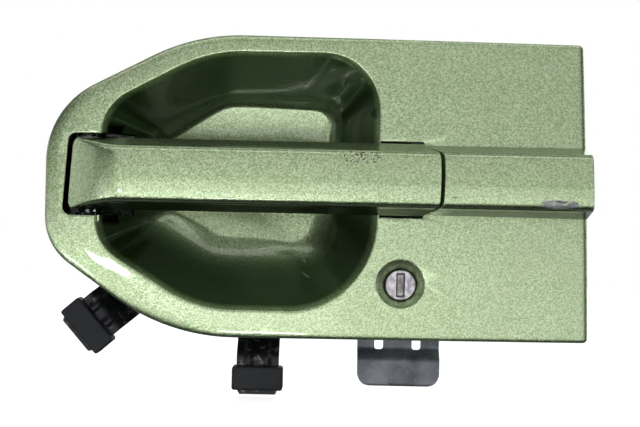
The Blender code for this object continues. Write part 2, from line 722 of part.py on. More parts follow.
def grip_hinge_parts():
    """Pin, its retaining ring, the thrust spacer and the return spring."""
    pin = cylinder("hinge_pin", HINGE, HINGE_PIN_RADIUS, -24.2, 21.6, "Z", zinc_steel(), count=16)
    join(pin, cylinder("hinge_pin_head", HINGE, 3.6, 20.9, 22.4, "Z", count=16))
    washer("hinge_pin_ring", HINGE, HINGE_PIN_RADIUS + GAP, 3.7, -22.8, -21.5, "Z", phosphate_steel(), 16)
    washer("hinge_spacer", HINGE, HINGE_PIN_RADIUS + GAP, 4.4, KNUCKLE_HALF + GAP, 15.7, "Z",
           white_nylon(), 18)
    coil("grip_return_spring", HINGE, 3.3, 0.55, -15.6, 3.0, "Z", zinc_steel(), (3.5, 4.5))


def grip_buffers():
    """Rubber stops on the slot's ledge that the closed strap rests against."""
    for key, place in BUFFER_PLACES.items():
        cylinder(f"grip_buffer_{key}", place, 2.3, -9.4, SLOT_LEDGE_Y - GAP, "Y", rubber(), 16)


def mechanism_bracket():
    """Folded steel bracket behind the slot that carries the bell crank."""
    bracket = box("mechanism_bracket", BRACKET_X, BRACKET_Y, BRACKET_Z, black_steel())
    for key, x in BRACKET_CHEEKS_X.items():
        cheek = [(2.0, 13.0), (16.0, 13.0)] + arc(CRANK_PIVOT, 7.0, -60, 100, 7) + [(2.0, 36.0)]
        join(bracket, prism(f"bracket_cheek_{key}", cheek, x, x + CHEEK_THICKNESS, "X"))
    cut(bracket, box("bracket_window", (28.4, 46.4), (-1.0, 4.5), (-14.6, 11.0)))
    cut(bracket, cylinder("bracket_pin_hole", CRANK_PIVOT, CRANK_PIN_RADIUS + GAP, 25.0, 60.0, "X", count=16))
    cut(bracket, box("bracket_weight_window", (38.5, 49.5), (-1.0, 4.5), (32.0, 43.0)))
    for key, place in BRACKET_SCREWS.items():
        cut(bracket, cylinder(f"bracket_hole_{key}", place, 2.3, -1.0, 5.0, "Y", count=12))
    return bracket


def crank_outline(width_hub, tip, width_tip):
    """Flat arm that hugs the hub circle and ends in a rounded eye."""
    pivot = Vector(CRANK_PIVOT)
    end = Vector(tip)
    heading = math.degrees(math.atan2(end.y - pivot.y, end.x - pivot.x))
    outline = arc(CRANK_PIVOT, width_hub, heading + 90, heading + 270, 6)
    return outline + arc(tip, width_tip, heading - 90, heading + 90, 6)


def crank_point(degrees, radius):
    """A point at an angle from the +Y direction, anticlockwise towards +Z."""
    turn = math.radians(degrees)
    return (CRANK_PIVOT[0] + radius * math.cos(turn), CRANK_PIVOT[1] + radius * math.sin(turn))


def bell_crank():
    """Lever that turns the grip's pull into the latch rod's push."""
    hub = cylinder("bell_crank", CRANK_PIVOT, 6.0, CRANK_HUB_X[0], CRANK_HUB_X[1], "X", zinc_steel(), 20)
    rest = math.radians(CRANK_REST_ANGLE)
    finger = (CRANK_PIVOT[0] - CRANK_ARM * math.sin(rest), CRANK_PIVOT[1] - CRANK_ARM * math.cos(rest))
    output = crank_point(OUTPUT_ANGLE, OUTPUT_ARM)
    weight = crank_point(WEIGHT_ANGLE, WEIGHT_ARM)
    low, high = CRANK_PLATE_X
    join(hub, prism("crank_input_arm", crank_outline(5.6, finger, 3.6), low, high, "X"))
    join(hub, prism("crank_output_arm", crank_outline(5.5, output, 4.2), low + 0.2, high - 0.2, "X"))
    join(hub, prism("crank_weight_arm", crank_outline(5.4, weight, 3.4), low + 0.4, high - 0.4, "X"))
    join(hub, cylinder("crank_finger", finger, FINGER_RADIUS, 33.4, low + 1.0, "X", count=16))
    cut(hub, cylinder("crank_bore", CRANK_PIVOT, 3.8, 30.0, 55.0, "X", count=18))
    cut(hub, cylinder("crank_rod_hole", output, 2.4, 40.0, 50.0, "X", count=14))
    cut(hub, cylinder("crank_weight_hole", weight, 1.9, 40.0, 50.0, "X", count=12))
    return hub


def crank_parts():
    """Pin, ring, bush, spring, counterweight and rod clip of the bell crank."""
    pin = cylinder("crank_pin", CRANK_PIVOT, CRANK_PIN_RADIUS, 27.6, 55.4, "X", zinc_steel(), 16)
    join(pin, cylinder("crank_pin_head", CRANK_PIVOT, 4.2, 27.4, 29.3, "X", count=18))
    washer("crank_pin_ring", CRANK_PIVOT, CRANK_PIN_RADIUS + GAP, 4.3, 52.7, 53.9, "X", phosphate_steel(), 16)
    bush = [(2.8, 37.2), (5.6, 37.2), (5.6, 37.7), (3.5, 37.7), (3.5, 48.3), (5.6, 48.3), (5.6, 49.2),
            (2.8, 49.2)]
    turned("crank_bush", CRANK_PIVOT, bush, "X", white_nylon(), 18)
    coil("crank_spring", CRANK_PIVOT, 5.2, 0.7, 33.1, 1.5, "X", zinc_steel(), (6.0, 7.0))
    weight = crank_point(WEIGHT_ANGLE, WEIGHT_ARM)
    mass = cylinder("counterweight", weight, 5.5, 47.0, 49.4, "X", zinc_steel(), 20)
    join(mass, cylinder("counterweight_rivet", weight, 1.6, 41.4, 47.4, "X", count=12))
    join(mass, cylinder("counterweight_inner", weight, 5.5, 39.2, 42.2, "X", count=20))
    output = crank_point(OUTPUT_ANGLE, OUTPUT_ARM)
    clip = cylinder("rod_clip", output, 4.6, 47.0, 52.6, "X", white_nylon(), 18)
    join(clip, cylinder("rod_clip_stem", output, 2.1, 40.6, 47.5, "X", count=14))
    join(clip, cylinder("rod_clip_barb", output, 3.0, 40.2, 41.8, "X", count=14))
    arm = box("rod_clip_arm", (47.4, 52.2), (output[0] + 1.0, output[0] + 15.0),
              (output[1] - 3.0, output[1] + 3.0))
    join(clip, arm)
    cut(clip, box("rod_clip_groove", (48.8, 50.8), (output[0] + 5.5, output[0] + 16.0),
                  (output[1] - 1.0, output[1] + 5.0)))
    bore = cylinder("rod_clip_bore", output, 1.5, 46.0, 54.0, "X", count=12)
    return cut(clip, bore)


def bracket_screws():
    for key, place in BRACKET_SCREWS.items():
        pan_screw(f"bracket_screw_{key}", place, 3.3, -4.0, 1.5, 3.6, zinc_steel())


def lock_parts():
    """Barrel, plug, face cap, shutter, tail lever and the small parts that hold them."""
    barrel = [(6.4, 2.6), (12.0, 2.6), (12.0, 4.6), (8.3, 4.6), (8.3, 6.4), (BARREL_RADIUS, 6.4)]
    barrel += [(BARREL_RADIUS, 22.0), (7.6, 22.0), (7.6, 30.0), (6.4, 30.0)]
    turned("lock_barrel", LOCK, barrel, "Y", lock_metal(), 24)
    washer("lock_seal_ring", LOCK, 8.0, 12.0, 1.3, 2.3, "Y", rubber(), 24)
    plug = cylinder("lock_plug", LOCK, PLUG_RADIUS, -3.0, 35.4, "Y", lock_metal(), 24)
    cut(plug, box("plug_keyway", (LOCK[0] - 1.2, LOCK[0] + 1.2), (-6.0, 18.0),
                  (LOCK[1] - 4.3, LOCK[1] + 4.3)))
    cut(plug, box("plug_shutter_room", (LOCK[0] - 1.9, LOCK[0] + 1.9), (-6.0, 1.6),
                  (LOCK[1] - 4.9, LOCK[1] + 4.9)))
    for index, side in enumerate((-1, 1)):
        flat = box(f"plug_flat_{index}", (LOCK[0] - 8.0, LOCK[0] + 8.0), (30.6, 40.0),
                   tuple(sorted((LOCK[1] + side * 3.8, LOCK[1] + side * 9.0))))
        cut(plug, flat)
    cap = turned("lock_face_cap", LOCK, [(0.001, -4.4), (5.7, -4.4), (PLUG_FACE_RADIUS, -4.0),
                                         (PLUG_FACE_RADIUS, -3.3), (0.001, -3.3)], "Y", lock_metal(), 28)
    cut(cap, box("cap_key_slot", (LOCK[0] - 1.75, LOCK[0] + 1.75), (-6.0, -2.0),
                 (LOCK[1] - 5.1, LOCK[1] + 5.1)))
    box("key_shutter", (SHUTTER_HINGE_X, LOCK[0] + 1.4), (-3.5, -2.7), (LOCK[1] - 4.5, LOCK[1] + 4.5),
        lock_metal())
    tip = (LOCK[0] - LEVER_REACH, LOCK[1])
    lever_outline = arc(LOCK, 8.0, -110, 110, 10) + arc(tip, 4.4, 100, 260, 8)
    lever = prism("lock_tail_lever", lever_outline, 31.0, 33.4, "Y", zinc_steel())
    cut(lever, box("tail_lever_bore", (LOCK[0] - 6.3, LOCK[0] + 6.3), (29.0, 36.0),
                   (LOCK[1] - 4.1, LOCK[1] + 4.1)))
    cut(lever, cylinder("tail_lever_rod_hole", tip, 1.9, 29.0, 36.0, "Y", count=12))
    washer("lock_tail_ring", LOCK, PLUG_RADIUS + GAP, 8.2, 33.7, 34.7, "Y", phosphate_steel(), 20)
    coil("lock_return_spring", LOCK, 8.9, 0.6, 23.6, 2.0, "Y", zinc_steel(), (3.0, 5.0))


def lock_retaining_clip():
    """Spring-steel slide that grips the barrel's groove, with a finger tail below the panel."""
    left, right, bottom = CLIP_TAIL
    tail = rounded([(right, -72.5, 2.0), (left, -72.5, 2.0), (left, bottom, 5.0), (right, bottom, 5.0)], 4)
    clip = prism("lock_retaining_clip", tail, 4.9, 6.1, "Y", phosphate_steel())
    legs = [(LOCK[0] + CLIP_LEG_REACH, -34.5), (LOCK[0] - CLIP_LEG_REACH, -34.5)]
    legs += [(LOCK[0] - CLIP_LEG_REACH, -74.0), (LOCK[0] + CLIP_LEG_REACH, -74.0)]
    join(clip, prism("clip_legs", legs, 4.95, 6.05, "Y"))
    slot = [(LOCK[0] + 8.6, -30.0), (LOCK[0] - 8.6, -30.0)] + arc(LOCK, 8.6, 180, 360, 10)
    cut(clip, prism("clip_slot", slot, 3.0, 8.0, "Y"))
    for index, side in enumerate((-1, 1)):
        x = LOCK[0] + side * 8.0
        cut(clip, box(f"clip_window_{index}", (x - 1.7, x + 1.7), (3.0, 8.0), (-72.0, -58.0)))
    lip = prism("clip_lip", [(left + 4.0, 4.9), (right - 4.0, 4.9), (right - 4.0, 1.6), (left + 4.0, 1.6)],
                bottom, bottom + 1.4, "Z")
    return join(clip, lip)


def lug(key):
    """Joggled steel strap that hooks behind the door skin, with its rubber pad and two screws."""
    pad_x, pad_z, degrees, width = LUGS[key]
    start, along, across = lug_frame(pad_x, pad_z, degrees)
    half = width / 2

    def place(station, y, side):
        point = start + along * station + across * side
        return (point.x, y, point.y)

    high = LUG_ROOT_Y
    low = LUG_TIP_Y
    profile = [(0.5, high), (16.4, high), (24.6, low), (LUG_END_STATION, low)]
    back = [(s + (0.6 if 10 < s < 30 else 0.0), y + LUG_THICKNESS) for s, y in profile[::-1]]
    loops = [[place(s, y, side) for s, y in profile + back] for side in (-half, half)]
    strap = loft(f"hook_lug_{key}", loops, black_steel())
    for side, centre in lug_screw_places(key).items():
        cut(strap, cylinder(f"lug_hole_{key}_{side}", centre, 2.2, 8.0, 18.0, "Y", count=12))
        head_y = high + LUG_THICKNESS + GAP
        pan_screw(f"lug_screw_{key}_{side}", centre, head_y, 3.0, 1.2, 3.4, zinc_steel())
    outer = [(PAD_STATION - 5.0, PAD_FRONT_Y), (PAD_STATION + 5.0, PAD_FRONT_Y)]
    outer += [(PAD_STATION + 5.0, 10.4), (PAD_STATION - 5.0, 10.4)]
    reach = half + 1.8
    pad_loops = [[place(s, y, side) for s, y in outer] for side in (-reach, reach)]
    pad = loft(f"lug_pad_{key}", pad_loops, rubber())
    inner = [(PAD_STATION - 9.0, low - GAP), (PAD_STATION + 9.0, low - GAP)]
    inner += [(PAD_STATION + 9.0, low + LUG_THICKNESS + GAP), (PAD_STATION - 9.0, low + LUG_THICKNESS + GAP)]
    reach = half + GAP
    socket = loft(f"lug_socket_{key}", [[place(s, y, side) for s, y in inner] for side in (-reach, reach)])
    cut(pad, socket)


def studs():
    """Threaded studs behind the panel with their washers and flange nuts."""
    for key, place in STUDS.items():
        stud = cylinder(f"stud_{key}", place, 3.0, -3.3, 20.0, "Y", zinc_steel(), 16)
        join(stud, cylinder(f"stud_collar_{key}", place, 5.4, -0.3, 0.6, "Y", count=20))
        washer(f"stud_washer_{key}", place, 3.3, 9.0, 1.6, 3.0, "Y", zinc_steel(), 24)
        nut = prism(f"stud_nut_{key}", circle(place, 5.8, 6), 4.6, 9.2, "Y", zinc_steel())
        join(nut, cylinder(f"nut_flange_{key}", place, 7.0, 3.3, 4.8, "Y", count=20))
        cut(nut, cylinder(f"nut_bore_{key}", place, 3.0 + GAP, 2.0, 11.0, "Y", count=16))


def grip_screws():
    for key, x in GRIP_SCREWS.items():
        pan_screw(f"grip_screw_{key}", (x, 0.0), -12.1, -17.9, 1.6, 3.8, zinc_steel())


def hang_on_axis(name, centre, *nodes):
    """Parents a moving body's pieces to an empty that stands on the joint's axis."""
    pivot = bpy.data.objects.new(name, None)
    pivot.location = Vector(centre) * MM
    bpy.context.scene.collection.objects.link(pivot)
    for node in nodes:
        piece = bpy.data.objects[node]
        piece.parent = pivot
        piece.matrix_parent_inverse = Matrix.Translation(-pivot.location)


def joint_axes():
    """One empty for each moving body: the grip, the crank, its rod clip, the plug and the shutter."""
    hang_on_axis("grip_hinge", (*HINGE, 0.0), "grip_cover", "grip_carrier", "hook_sleeve",
                 "grip_screw_left", "grip_screw_right")
    crank_x = sum(CRANK_HUB_X) / 2
    hang_on_axis("bell_crank_turn", (crank_x, *CRANK_PIVOT), "bell_crank", "crank_bush", "counterweight")
    hang_on_axis("rod_clip_turn", (ROD_CLIP_MIDDLE_X, *crank_point(OUTPUT_ANGLE, OUTPUT_ARM)), "rod_clip")
    hang_on_axis("key_turn", (LOCK[0], 0.0, LOCK[1]), "lock_plug", "lock_face_cap", "lock_tail_lever",
                 "lock_tail_ring")
    hang_on_axis("key_shutter_flap", (SHUTTER_HINGE_X, SHUTTER_HINGE_Y, LOCK[1]), "key_shutter")


def build():
    clear_scene()
    escutcheon_panel()
    perimeter_gasket()
    grip_cover()
    grip_carrier()
    hook_sleeve()
    grip_screws()
    grip_hinge_parts()
    grip_buffers()
    mechanism_bracket()
    bracket_screws()
    bell_crank()
    crank_parts()
    lock_parts()
    lock_retaining_clip()
    for key in LUGS:
        lug(key)
    studs()
    joint_axes()


build()
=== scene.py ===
"""Looks of a car door handle: painted escutcheon with a hand cup, pull-out strap, key lock and fixings."""
import json
import math

import bmesh
import bpy
from mathutils import Matrix, Vector


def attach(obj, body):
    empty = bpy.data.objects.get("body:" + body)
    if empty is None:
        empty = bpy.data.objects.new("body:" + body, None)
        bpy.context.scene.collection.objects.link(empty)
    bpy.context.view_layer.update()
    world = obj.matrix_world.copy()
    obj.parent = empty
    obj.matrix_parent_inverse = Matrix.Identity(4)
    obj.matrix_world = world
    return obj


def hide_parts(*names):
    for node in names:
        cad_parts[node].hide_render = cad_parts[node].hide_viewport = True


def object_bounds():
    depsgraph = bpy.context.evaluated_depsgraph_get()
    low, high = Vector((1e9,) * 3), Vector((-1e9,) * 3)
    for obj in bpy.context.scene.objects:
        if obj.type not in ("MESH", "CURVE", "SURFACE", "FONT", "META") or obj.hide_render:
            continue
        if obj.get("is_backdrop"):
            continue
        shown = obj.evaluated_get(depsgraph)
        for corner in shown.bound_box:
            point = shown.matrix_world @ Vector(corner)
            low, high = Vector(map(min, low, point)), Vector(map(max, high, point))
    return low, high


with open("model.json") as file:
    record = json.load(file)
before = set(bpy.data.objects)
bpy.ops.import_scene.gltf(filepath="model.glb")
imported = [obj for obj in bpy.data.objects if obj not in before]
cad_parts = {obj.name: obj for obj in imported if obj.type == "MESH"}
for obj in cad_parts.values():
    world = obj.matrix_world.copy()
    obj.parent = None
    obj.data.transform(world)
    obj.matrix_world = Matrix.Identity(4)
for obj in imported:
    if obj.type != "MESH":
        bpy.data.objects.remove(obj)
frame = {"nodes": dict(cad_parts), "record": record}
cad_low, cad_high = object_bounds()

# ---- Escutcheon panel ----
# A pressure-cast shell about 228 x 126 mm with a crowned face, a rolled edge and a deep hand cup.
# It is sprayed in a light green metallic base coat under clear lacquer, and seats on the door skin at Y = 0.
MM = 0.001
PANEL_CORNERS = [
    (110.5, 58.2, 2), (-51.6, 59.5, 82), (-113.6, 27.3, 36),
    (-113.6, -30.4, 24), (-61.6, -67.6, 86), (115.0, -66.8, 2),
]
CUP_CORNERS = [
    (25.5, 37.9, 23.5), (11.9, 51.9, 22.5), (-45.4, 51.9, 60), (-89.3, 28.6, 20),
    (-92.3, -28.8, 20), (-49.4, -55.4, 54), (4.5, -55.4, 33), (25.0, -31.5, 40),
]
FLOOR_CORNERS = [
    (7.2, 31.2, 9), (-40.0, 31.2, 20), (-67.0, 16.5, 6), (-67.6, -17.0, 6),
    (-43.0, -32.2, 18), (-2.0, -32.2, 11), (4.2, -16.0, 14),
]
CUP_CENTRE = (-33.0, -1.5)
WALL = 2.5
FLANGE_Y = -1.5
FLANGE_WIDTH = 3.0
FLOOR_Y = 22.0
LIP_RADIUS = 1.3
EDGE_INSETS = (0.0, 0.1, 0.35, 0.75, 1.3, 2.0, 2.9, 4.0, 5.2)
FACE_SHARES = (0.3, 0.6, 0.85)
LIP_TURNS = (0, 14, 28, 42, 56, 70)
WALL_SHARES = (0.08, 0.17, 0.26, 0.35, 0.44, 0.53, 0.62, 0.71, 0.8, 0.88, 0.95, 1.0)
STEP_SHARES = (0.18, 0.36, 0.52, 0.68, 0.84, 1.0)
RIDGE_DEPTH = 3.4
RIDGE_OUTSET = 4.2
RIDGE_OUTSET_LOSS = 3.4
FLAT_INSET = 0.4
FLAT_INSET_GAIN = 6.6
WALL_CURVE = 1.18
STEP_CURVE = 1.5
ROLL_WIDTH = 8.0
ROLL_WIDTH_LOSS = 5.8
ROLL_DROP = 1.7
ROLL_DROP_LOSS = 0.8


def linear(code):
    """sRGB hex to linear RGBA."""
    channels = [int(code[at:at + 2], 16) / 255 for at in (0, 2, 4)]
    return (*[c / 12.92 if c <= 0.04045 else ((c + 0.055) / 1.055) ** 2.4 for c in channels], 1.0)


def node(tree, kind, inputs=None, **settings):
    """Adds a shader node with its settings, socket values and links."""
    made = tree.nodes.new(kind)
    for key, value in settings.items():
        setattr(made, key, value)
    for key, value in (inputs or {}).items():
        if isinstance(value, bpy.types.NodeSocket):
            tree.links.new(value, made.inputs[key])
        else:
            made.inputs[key].default_value = value
    return made


def new_material(name, roughness, metallic=0.0, **sockets):
    """A Principled material, its tree, its shader and its Object coordinates."""
    made = bpy.data.materials.new(name)
    made.use_nodes = True
    tree = made.node_tree
    shader = tree.nodes["Principled BSDF"]
    shader.inputs["Roughness"].default_value = roughness
    shader.inputs["Metallic"].default_value = metallic
    for key, value in sockets.items():
        shader.inputs[key.replace("_", " ")].default_value = value
    place = node(tree, "ShaderNodeTexCoord").outputs["Object"]
    return made, tree, shader, place


def zone(tree, limits, strength=1.0):
    """Strength where every reading is past its own limit, fading to 0 short of it.

    limits are (reading, value with no effect, value with full effect).
    """
    inside = strength
    for reading, none, full in limits:
        share = node(tree, "ShaderNodeMapRange", {0: reading, 1: none, 2: full}).outputs[0]
        inside = node(tree, "ShaderNodeMath", {0: share, 1: inside}, operation="MULTIPLY").outputs[0]
    return inside


def patch(tree, place, centre, reach, ragged=0.35, grain=900.0):
    """1 inside a ragged-edged ellipsoid round a point on the piece, 0 outside it; sizes in millimetres."""
    moved = node(tree, "ShaderNodeVectorMath", {0: place, 1: [c * MM for c in centre]}, operation="SUBTRACT")
    shares = node(tree, "ShaderNodeVectorMath", {0: moved.outputs[0], 1: [r * MM for r in reach]},
                  operation="DIVIDE")
    away = node(tree, "ShaderNodeVectorMath", {0: shares.outputs[0]}, operation="LENGTH").outputs["Value"]
    rough = node(tree, "ShaderNodeTexNoise", {"Vector": place, "Scale": grain, "Detail": 4.0}).outputs[0]
    bite = node(tree, "ShaderNodeMapRange", {0: rough, 1: 0.0, 2: 1.0, 3: -2 * ragged, 4: 2 * ragged},
                clamp=False)
    edge = node(tree, "ShaderNodeMath", {0: away, 1: bite.outputs[0]}, operation="ADD").outputs[0]
    return node(tree, "ShaderNodeMapRange", {0: edge, 1: 1.0, 2: 0.9}).outputs[0]


def green_metallic(name, marks=()):
    """Light green metallic lacquer: aluminium flakes that sparkle under a smooth, glossy clear coat.

    A real flake is about 0.05 mm; it is drawn as 0.44 mm so that the sparkle shows.
    marks are (mask maker, colour, roughness) for dirt and scrapes on top. The cup walls, the down-facing
    flanks, the strip's top flank and the pocket and slot recesses get painted shade.
    """
    made, tree, shader, place = new_material(name, 0.4, 1.0, Coat_Weight=1.0, Coat_Roughness=0.045)
    flakes = node(tree, "ShaderNodeTexVoronoi", {"Vector": place, "Scale": 1 / (0.44 * MM)})
    random = node(tree, "ShaderNodeSeparateColor", {"Color": flakes.outputs["Color"]})
    lively = node(tree, "ShaderNodeMapRange", {0: random.outputs[0], 1: 0.1, 2: 0.9}).outputs[0]
    body = node(tree, "ShaderNodeMix", {0: lively, 6: linear("90AE79"), 7: linear("D9EAC1")},
                data_type="RGBA").outputs[2]
    drift = node(tree, "ShaderNodeTexNoise", {"Vector": place, "Scale": 1 / (22 * MM), "Detail": 3.0})
    cloud = node(tree, "ShaderNodeMapRange", {0: drift.outputs[0], 1: 0.3, 2: 0.7, 4: 0.22}).outputs[0]
    colour = node(tree, "ShaderNodeMix", {0: cloud, 6: body, 7: linear("B3BC98")},
                  data_type="RGBA").outputs[2]
    tilt = node(tree, "ShaderNodeVectorMath", {0: flakes.outputs["Color"], 1: (0.5, 0.5, 0.5)},
                operation="SUBTRACT").outputs[0]
    lean = node(tree, "ShaderNodeVectorMath", {0: tilt, "Scale": 0.09}, operation="SCALE").outputs[0]
    normal = node(tree, "ShaderNodeNewGeometry").outputs["Normal"]
    summed = node(tree, "ShaderNodeVectorMath", {0: normal, 1: lean}, operation="ADD").outputs[0]
    facet = node(tree, "ShaderNodeVectorMath", {0: summed}, operation="NORMALIZE").outputs[0]
    tree.links.new(facet, shader.inputs["Normal"])

    along, level, height = node(tree, "ShaderNodeSeparateXYZ", {"Vector": place}).outputs
    outward = node(tree, "ShaderNodeTexCoord").outputs["Normal"]
    facing = node(tree, "ShaderNodeSeparateXYZ", {"Vector": outward}).outputs
    off_axis = node(tree, "ShaderNodeMath", {0: height}, operation="ABSOLUTE").outputs[0]
    rake = node(tree, "ShaderNodeMath", {0: height, 1: -0.067}, operation="MULTIPLY").outputs[0]
    raked = node(tree, "ShaderNodeMath", {0: along, 1: rake}, operation="ADD").outputs[0]
    proud = (level, -6.0 * MM, -8.0 * MM)
    right_of_rim = (raked, -105.5 * MM, -105.2 * MM)
    # Painted shade: steep surfaces set back in the cup, left of the slot, are mixed towards a dark green
    # (425A38).
    cup_wall_painted_shade = zone(tree, [(facing["Y"], -0.97, -0.66), (level, -6.2 * MM, -3.0 * MM),
                           (along, 27.5 * MM, 26.5 * MM)])
    # Painted shade: down-facing flanks standing in front of the face, such as the strap's and strip's
    # undersides, are mixed towards a darker green (2C3828).
    underside_painted_shade = zone(tree, [(facing["Z"], -0.5, -0.85), proud], 0.85)
    # Painted shade: up-facing flanks right of x = 28 mm, on the strip, are mixed halfway towards the same
    # darker green.
    top_wall_painted_shade = zone(tree, [(facing["Z"], 0.5, 0.85), proud, (along, 22.0 * MM, 28.0 * MM)], 0.5)
    # Painted shade: the hinge pocket, the slot round the strap's right end and the cup corner beside the
    # pocket are mixed almost to black (0B0D0B).
    recess_shade_zones = [
        zone(tree, [(along, -77.5 * MM, -79.0 * MM), right_of_rim, (off_axis, 17.6 * MM, 17.2 * MM),
                    (level, -6.6 * MM, -5.8 * MM), (level, 10.5 * MM, 9.5 * MM)], 0.97),
        zone(tree, [(along, 25.6 * MM, 26.0 * MM), (along, 46.0 * MM, 45.0 * MM),
                    (off_axis, 16.4 * MM, 16.0 * MM), (level, -7.4 * MM, -7.0 * MM)], 0.97),
        zone(tree, [(along, -79.5 * MM, -81.5 * MM), right_of_rim, (off_axis, 22.0 * MM, 20.0 * MM),
                    (level, -4.6 * MM, -3.2 * MM), (level, 4.0 * MM, 3.0 * MM)], 0.97),
    ]
    pocket_or_slot = node(tree, "ShaderNodeMath", {0: recess_shade_zones[0], 1: recess_shade_zones[1]},
                          operation="MAXIMUM").outputs[0]
    darkening_share = node(tree, "ShaderNodeMath", {0: pocket_or_slot, 1: recess_shade_zones[2]}, operation="MAXIMUM").outputs[0]
    # Painted shade: each mask below darkens the lacquer's colour where shade falls.
    shades = ((cup_wall_painted_shade, "425A38"), (underside_painted_shade, "2C3828"), (top_wall_painted_shade, "2C3828"), (darkening_share, "0B0D0B"))
    for share, code in shades:
        colour = node(tree, "ShaderNodeMix", {0: share, 6: colour, 7: linear(code)},
                      data_type="RGBA").outputs[2]

    rough = node(tree, "ShaderNodeMapRange", {0: random.outputs[1], 3: 0.36, 4: 0.46}).outputs[0]
    metal = None
    for mask_of, mark, gloss in marks:
        mask = mask_of(tree, place)
        colour = node(tree, "ShaderNodeMix", {0: mask, 6: colour, 7: linear(mark)},
                      data_type="RGBA").outputs[2]
        rough = node(tree, "ShaderNodeMix", {0: mask, 2: rough, 3: gloss}).outputs[0]
        bare = node(tree, "ShaderNodeMath", {0: 1.0, 1: mask}, operation="SUBTRACT").outputs[0]
        if metal is None:
            metal = bare
        else:
            metal = node(tree, "ShaderNodeMath", {0: metal, 1: bare}, operation="MULTIPLY").outputs[0]
    tree.links.new(colour, shader.inputs["Base Color"])
    tree.links.new(rough, shader.inputs["Roughness"])
    if metal is not None:
        tree.links.new(metal, shader.inputs["Metallic"])
    return made


def inset_corners(corners, distance):
    """Moves every edge of a convex outline inwards and shrinks the corner radii to match."""
    moved = []
    for index, (x, z, radius) in enumerate(corners):
        here = Vector((x, z))
        back = (here - Vector(corners[index - 1][:2])).normalized()
        ahead = (Vector(corners[(index + 1) % len(corners)][:2]) - here).normalized()
        normal_back = Vector((-back.y, back.x))
        bisector = (normal_back + Vector((-ahead.y, ahead.x))).normalized()
        shift = bisector * (distance / bisector.dot(normal_back))
        moved.append((x + shift.x, z + shift.y, max(radius - distance, 0.3)))
    return moved


def rounded(corners, arc_steps=6):
    """Points of an outline whose corners are arcs."""
    points = []
    for index, (x, z, radius) in enumerate(corners):
        here = Vector((x, z))
        back = (Vector(corners[index - 1][:2]) - here).normalized()
        ahead = (Vector(corners[(index + 1) % len(corners)][:2]) - here).normalized()
        half = back.angle(ahead) / 2
        middle = here + (back + ahead).normalized() * (radius / math.sin(half))
        start = here + back * (radius / math.tan(half)) - middle
        for step in range(arc_steps + 1):
            arm = Matrix.Rotation((math.pi - 2 * half) * step / arc_steps, 2) @ start
            points.append((middle.x + arm.x, middle.y + arm.y))
    return points


def ray_distance(outline, angle):
    """Distance from the cup's centre to an outline along one direction."""
    direction = Vector((math.cos(angle), math.sin(angle)))
    best = 0.0
    for index, point in enumerate(outline):
        a = Vector(outline[index - 1]) - Vector(CUP_CENTRE)
        b = Vector(point) - Vector(CUP_CENTRE)
        side_a = direction.x * a.y - direction.y * a.x
        side_b = direction.x * b.y - direction.y * b.x
        if side_a * side_b > 0 or side_a == side_b:
            continue
        best = max(best, (a + (b - a) * (side_a / (side_a - side_b))).dot(direction))
    return best


def face_height(x, z):
    """Y of the crowned front face: 900 mm radius up the panel and 4 m along it."""
    return -8.0 + (z + 4.0) ** 2 / 1800.0 + x ** 2 / 8000.0


def edge_roll(x, inset):
    """How far the face falls away near the outer edge, more on the left than on the right."""
    share = min(max((x + 70.0) / 120.0, 0.0), 1.0)
    width = ROLL_WIDTH - ROLL_WIDTH_LOSS * share
    drop = ROLL_DROP - ROLL_DROP_LOSS * share
    if inset >= width:
        return 0.0
    return drop * (1 - math.sqrt(1 - (1 - inset / width) ** 2))


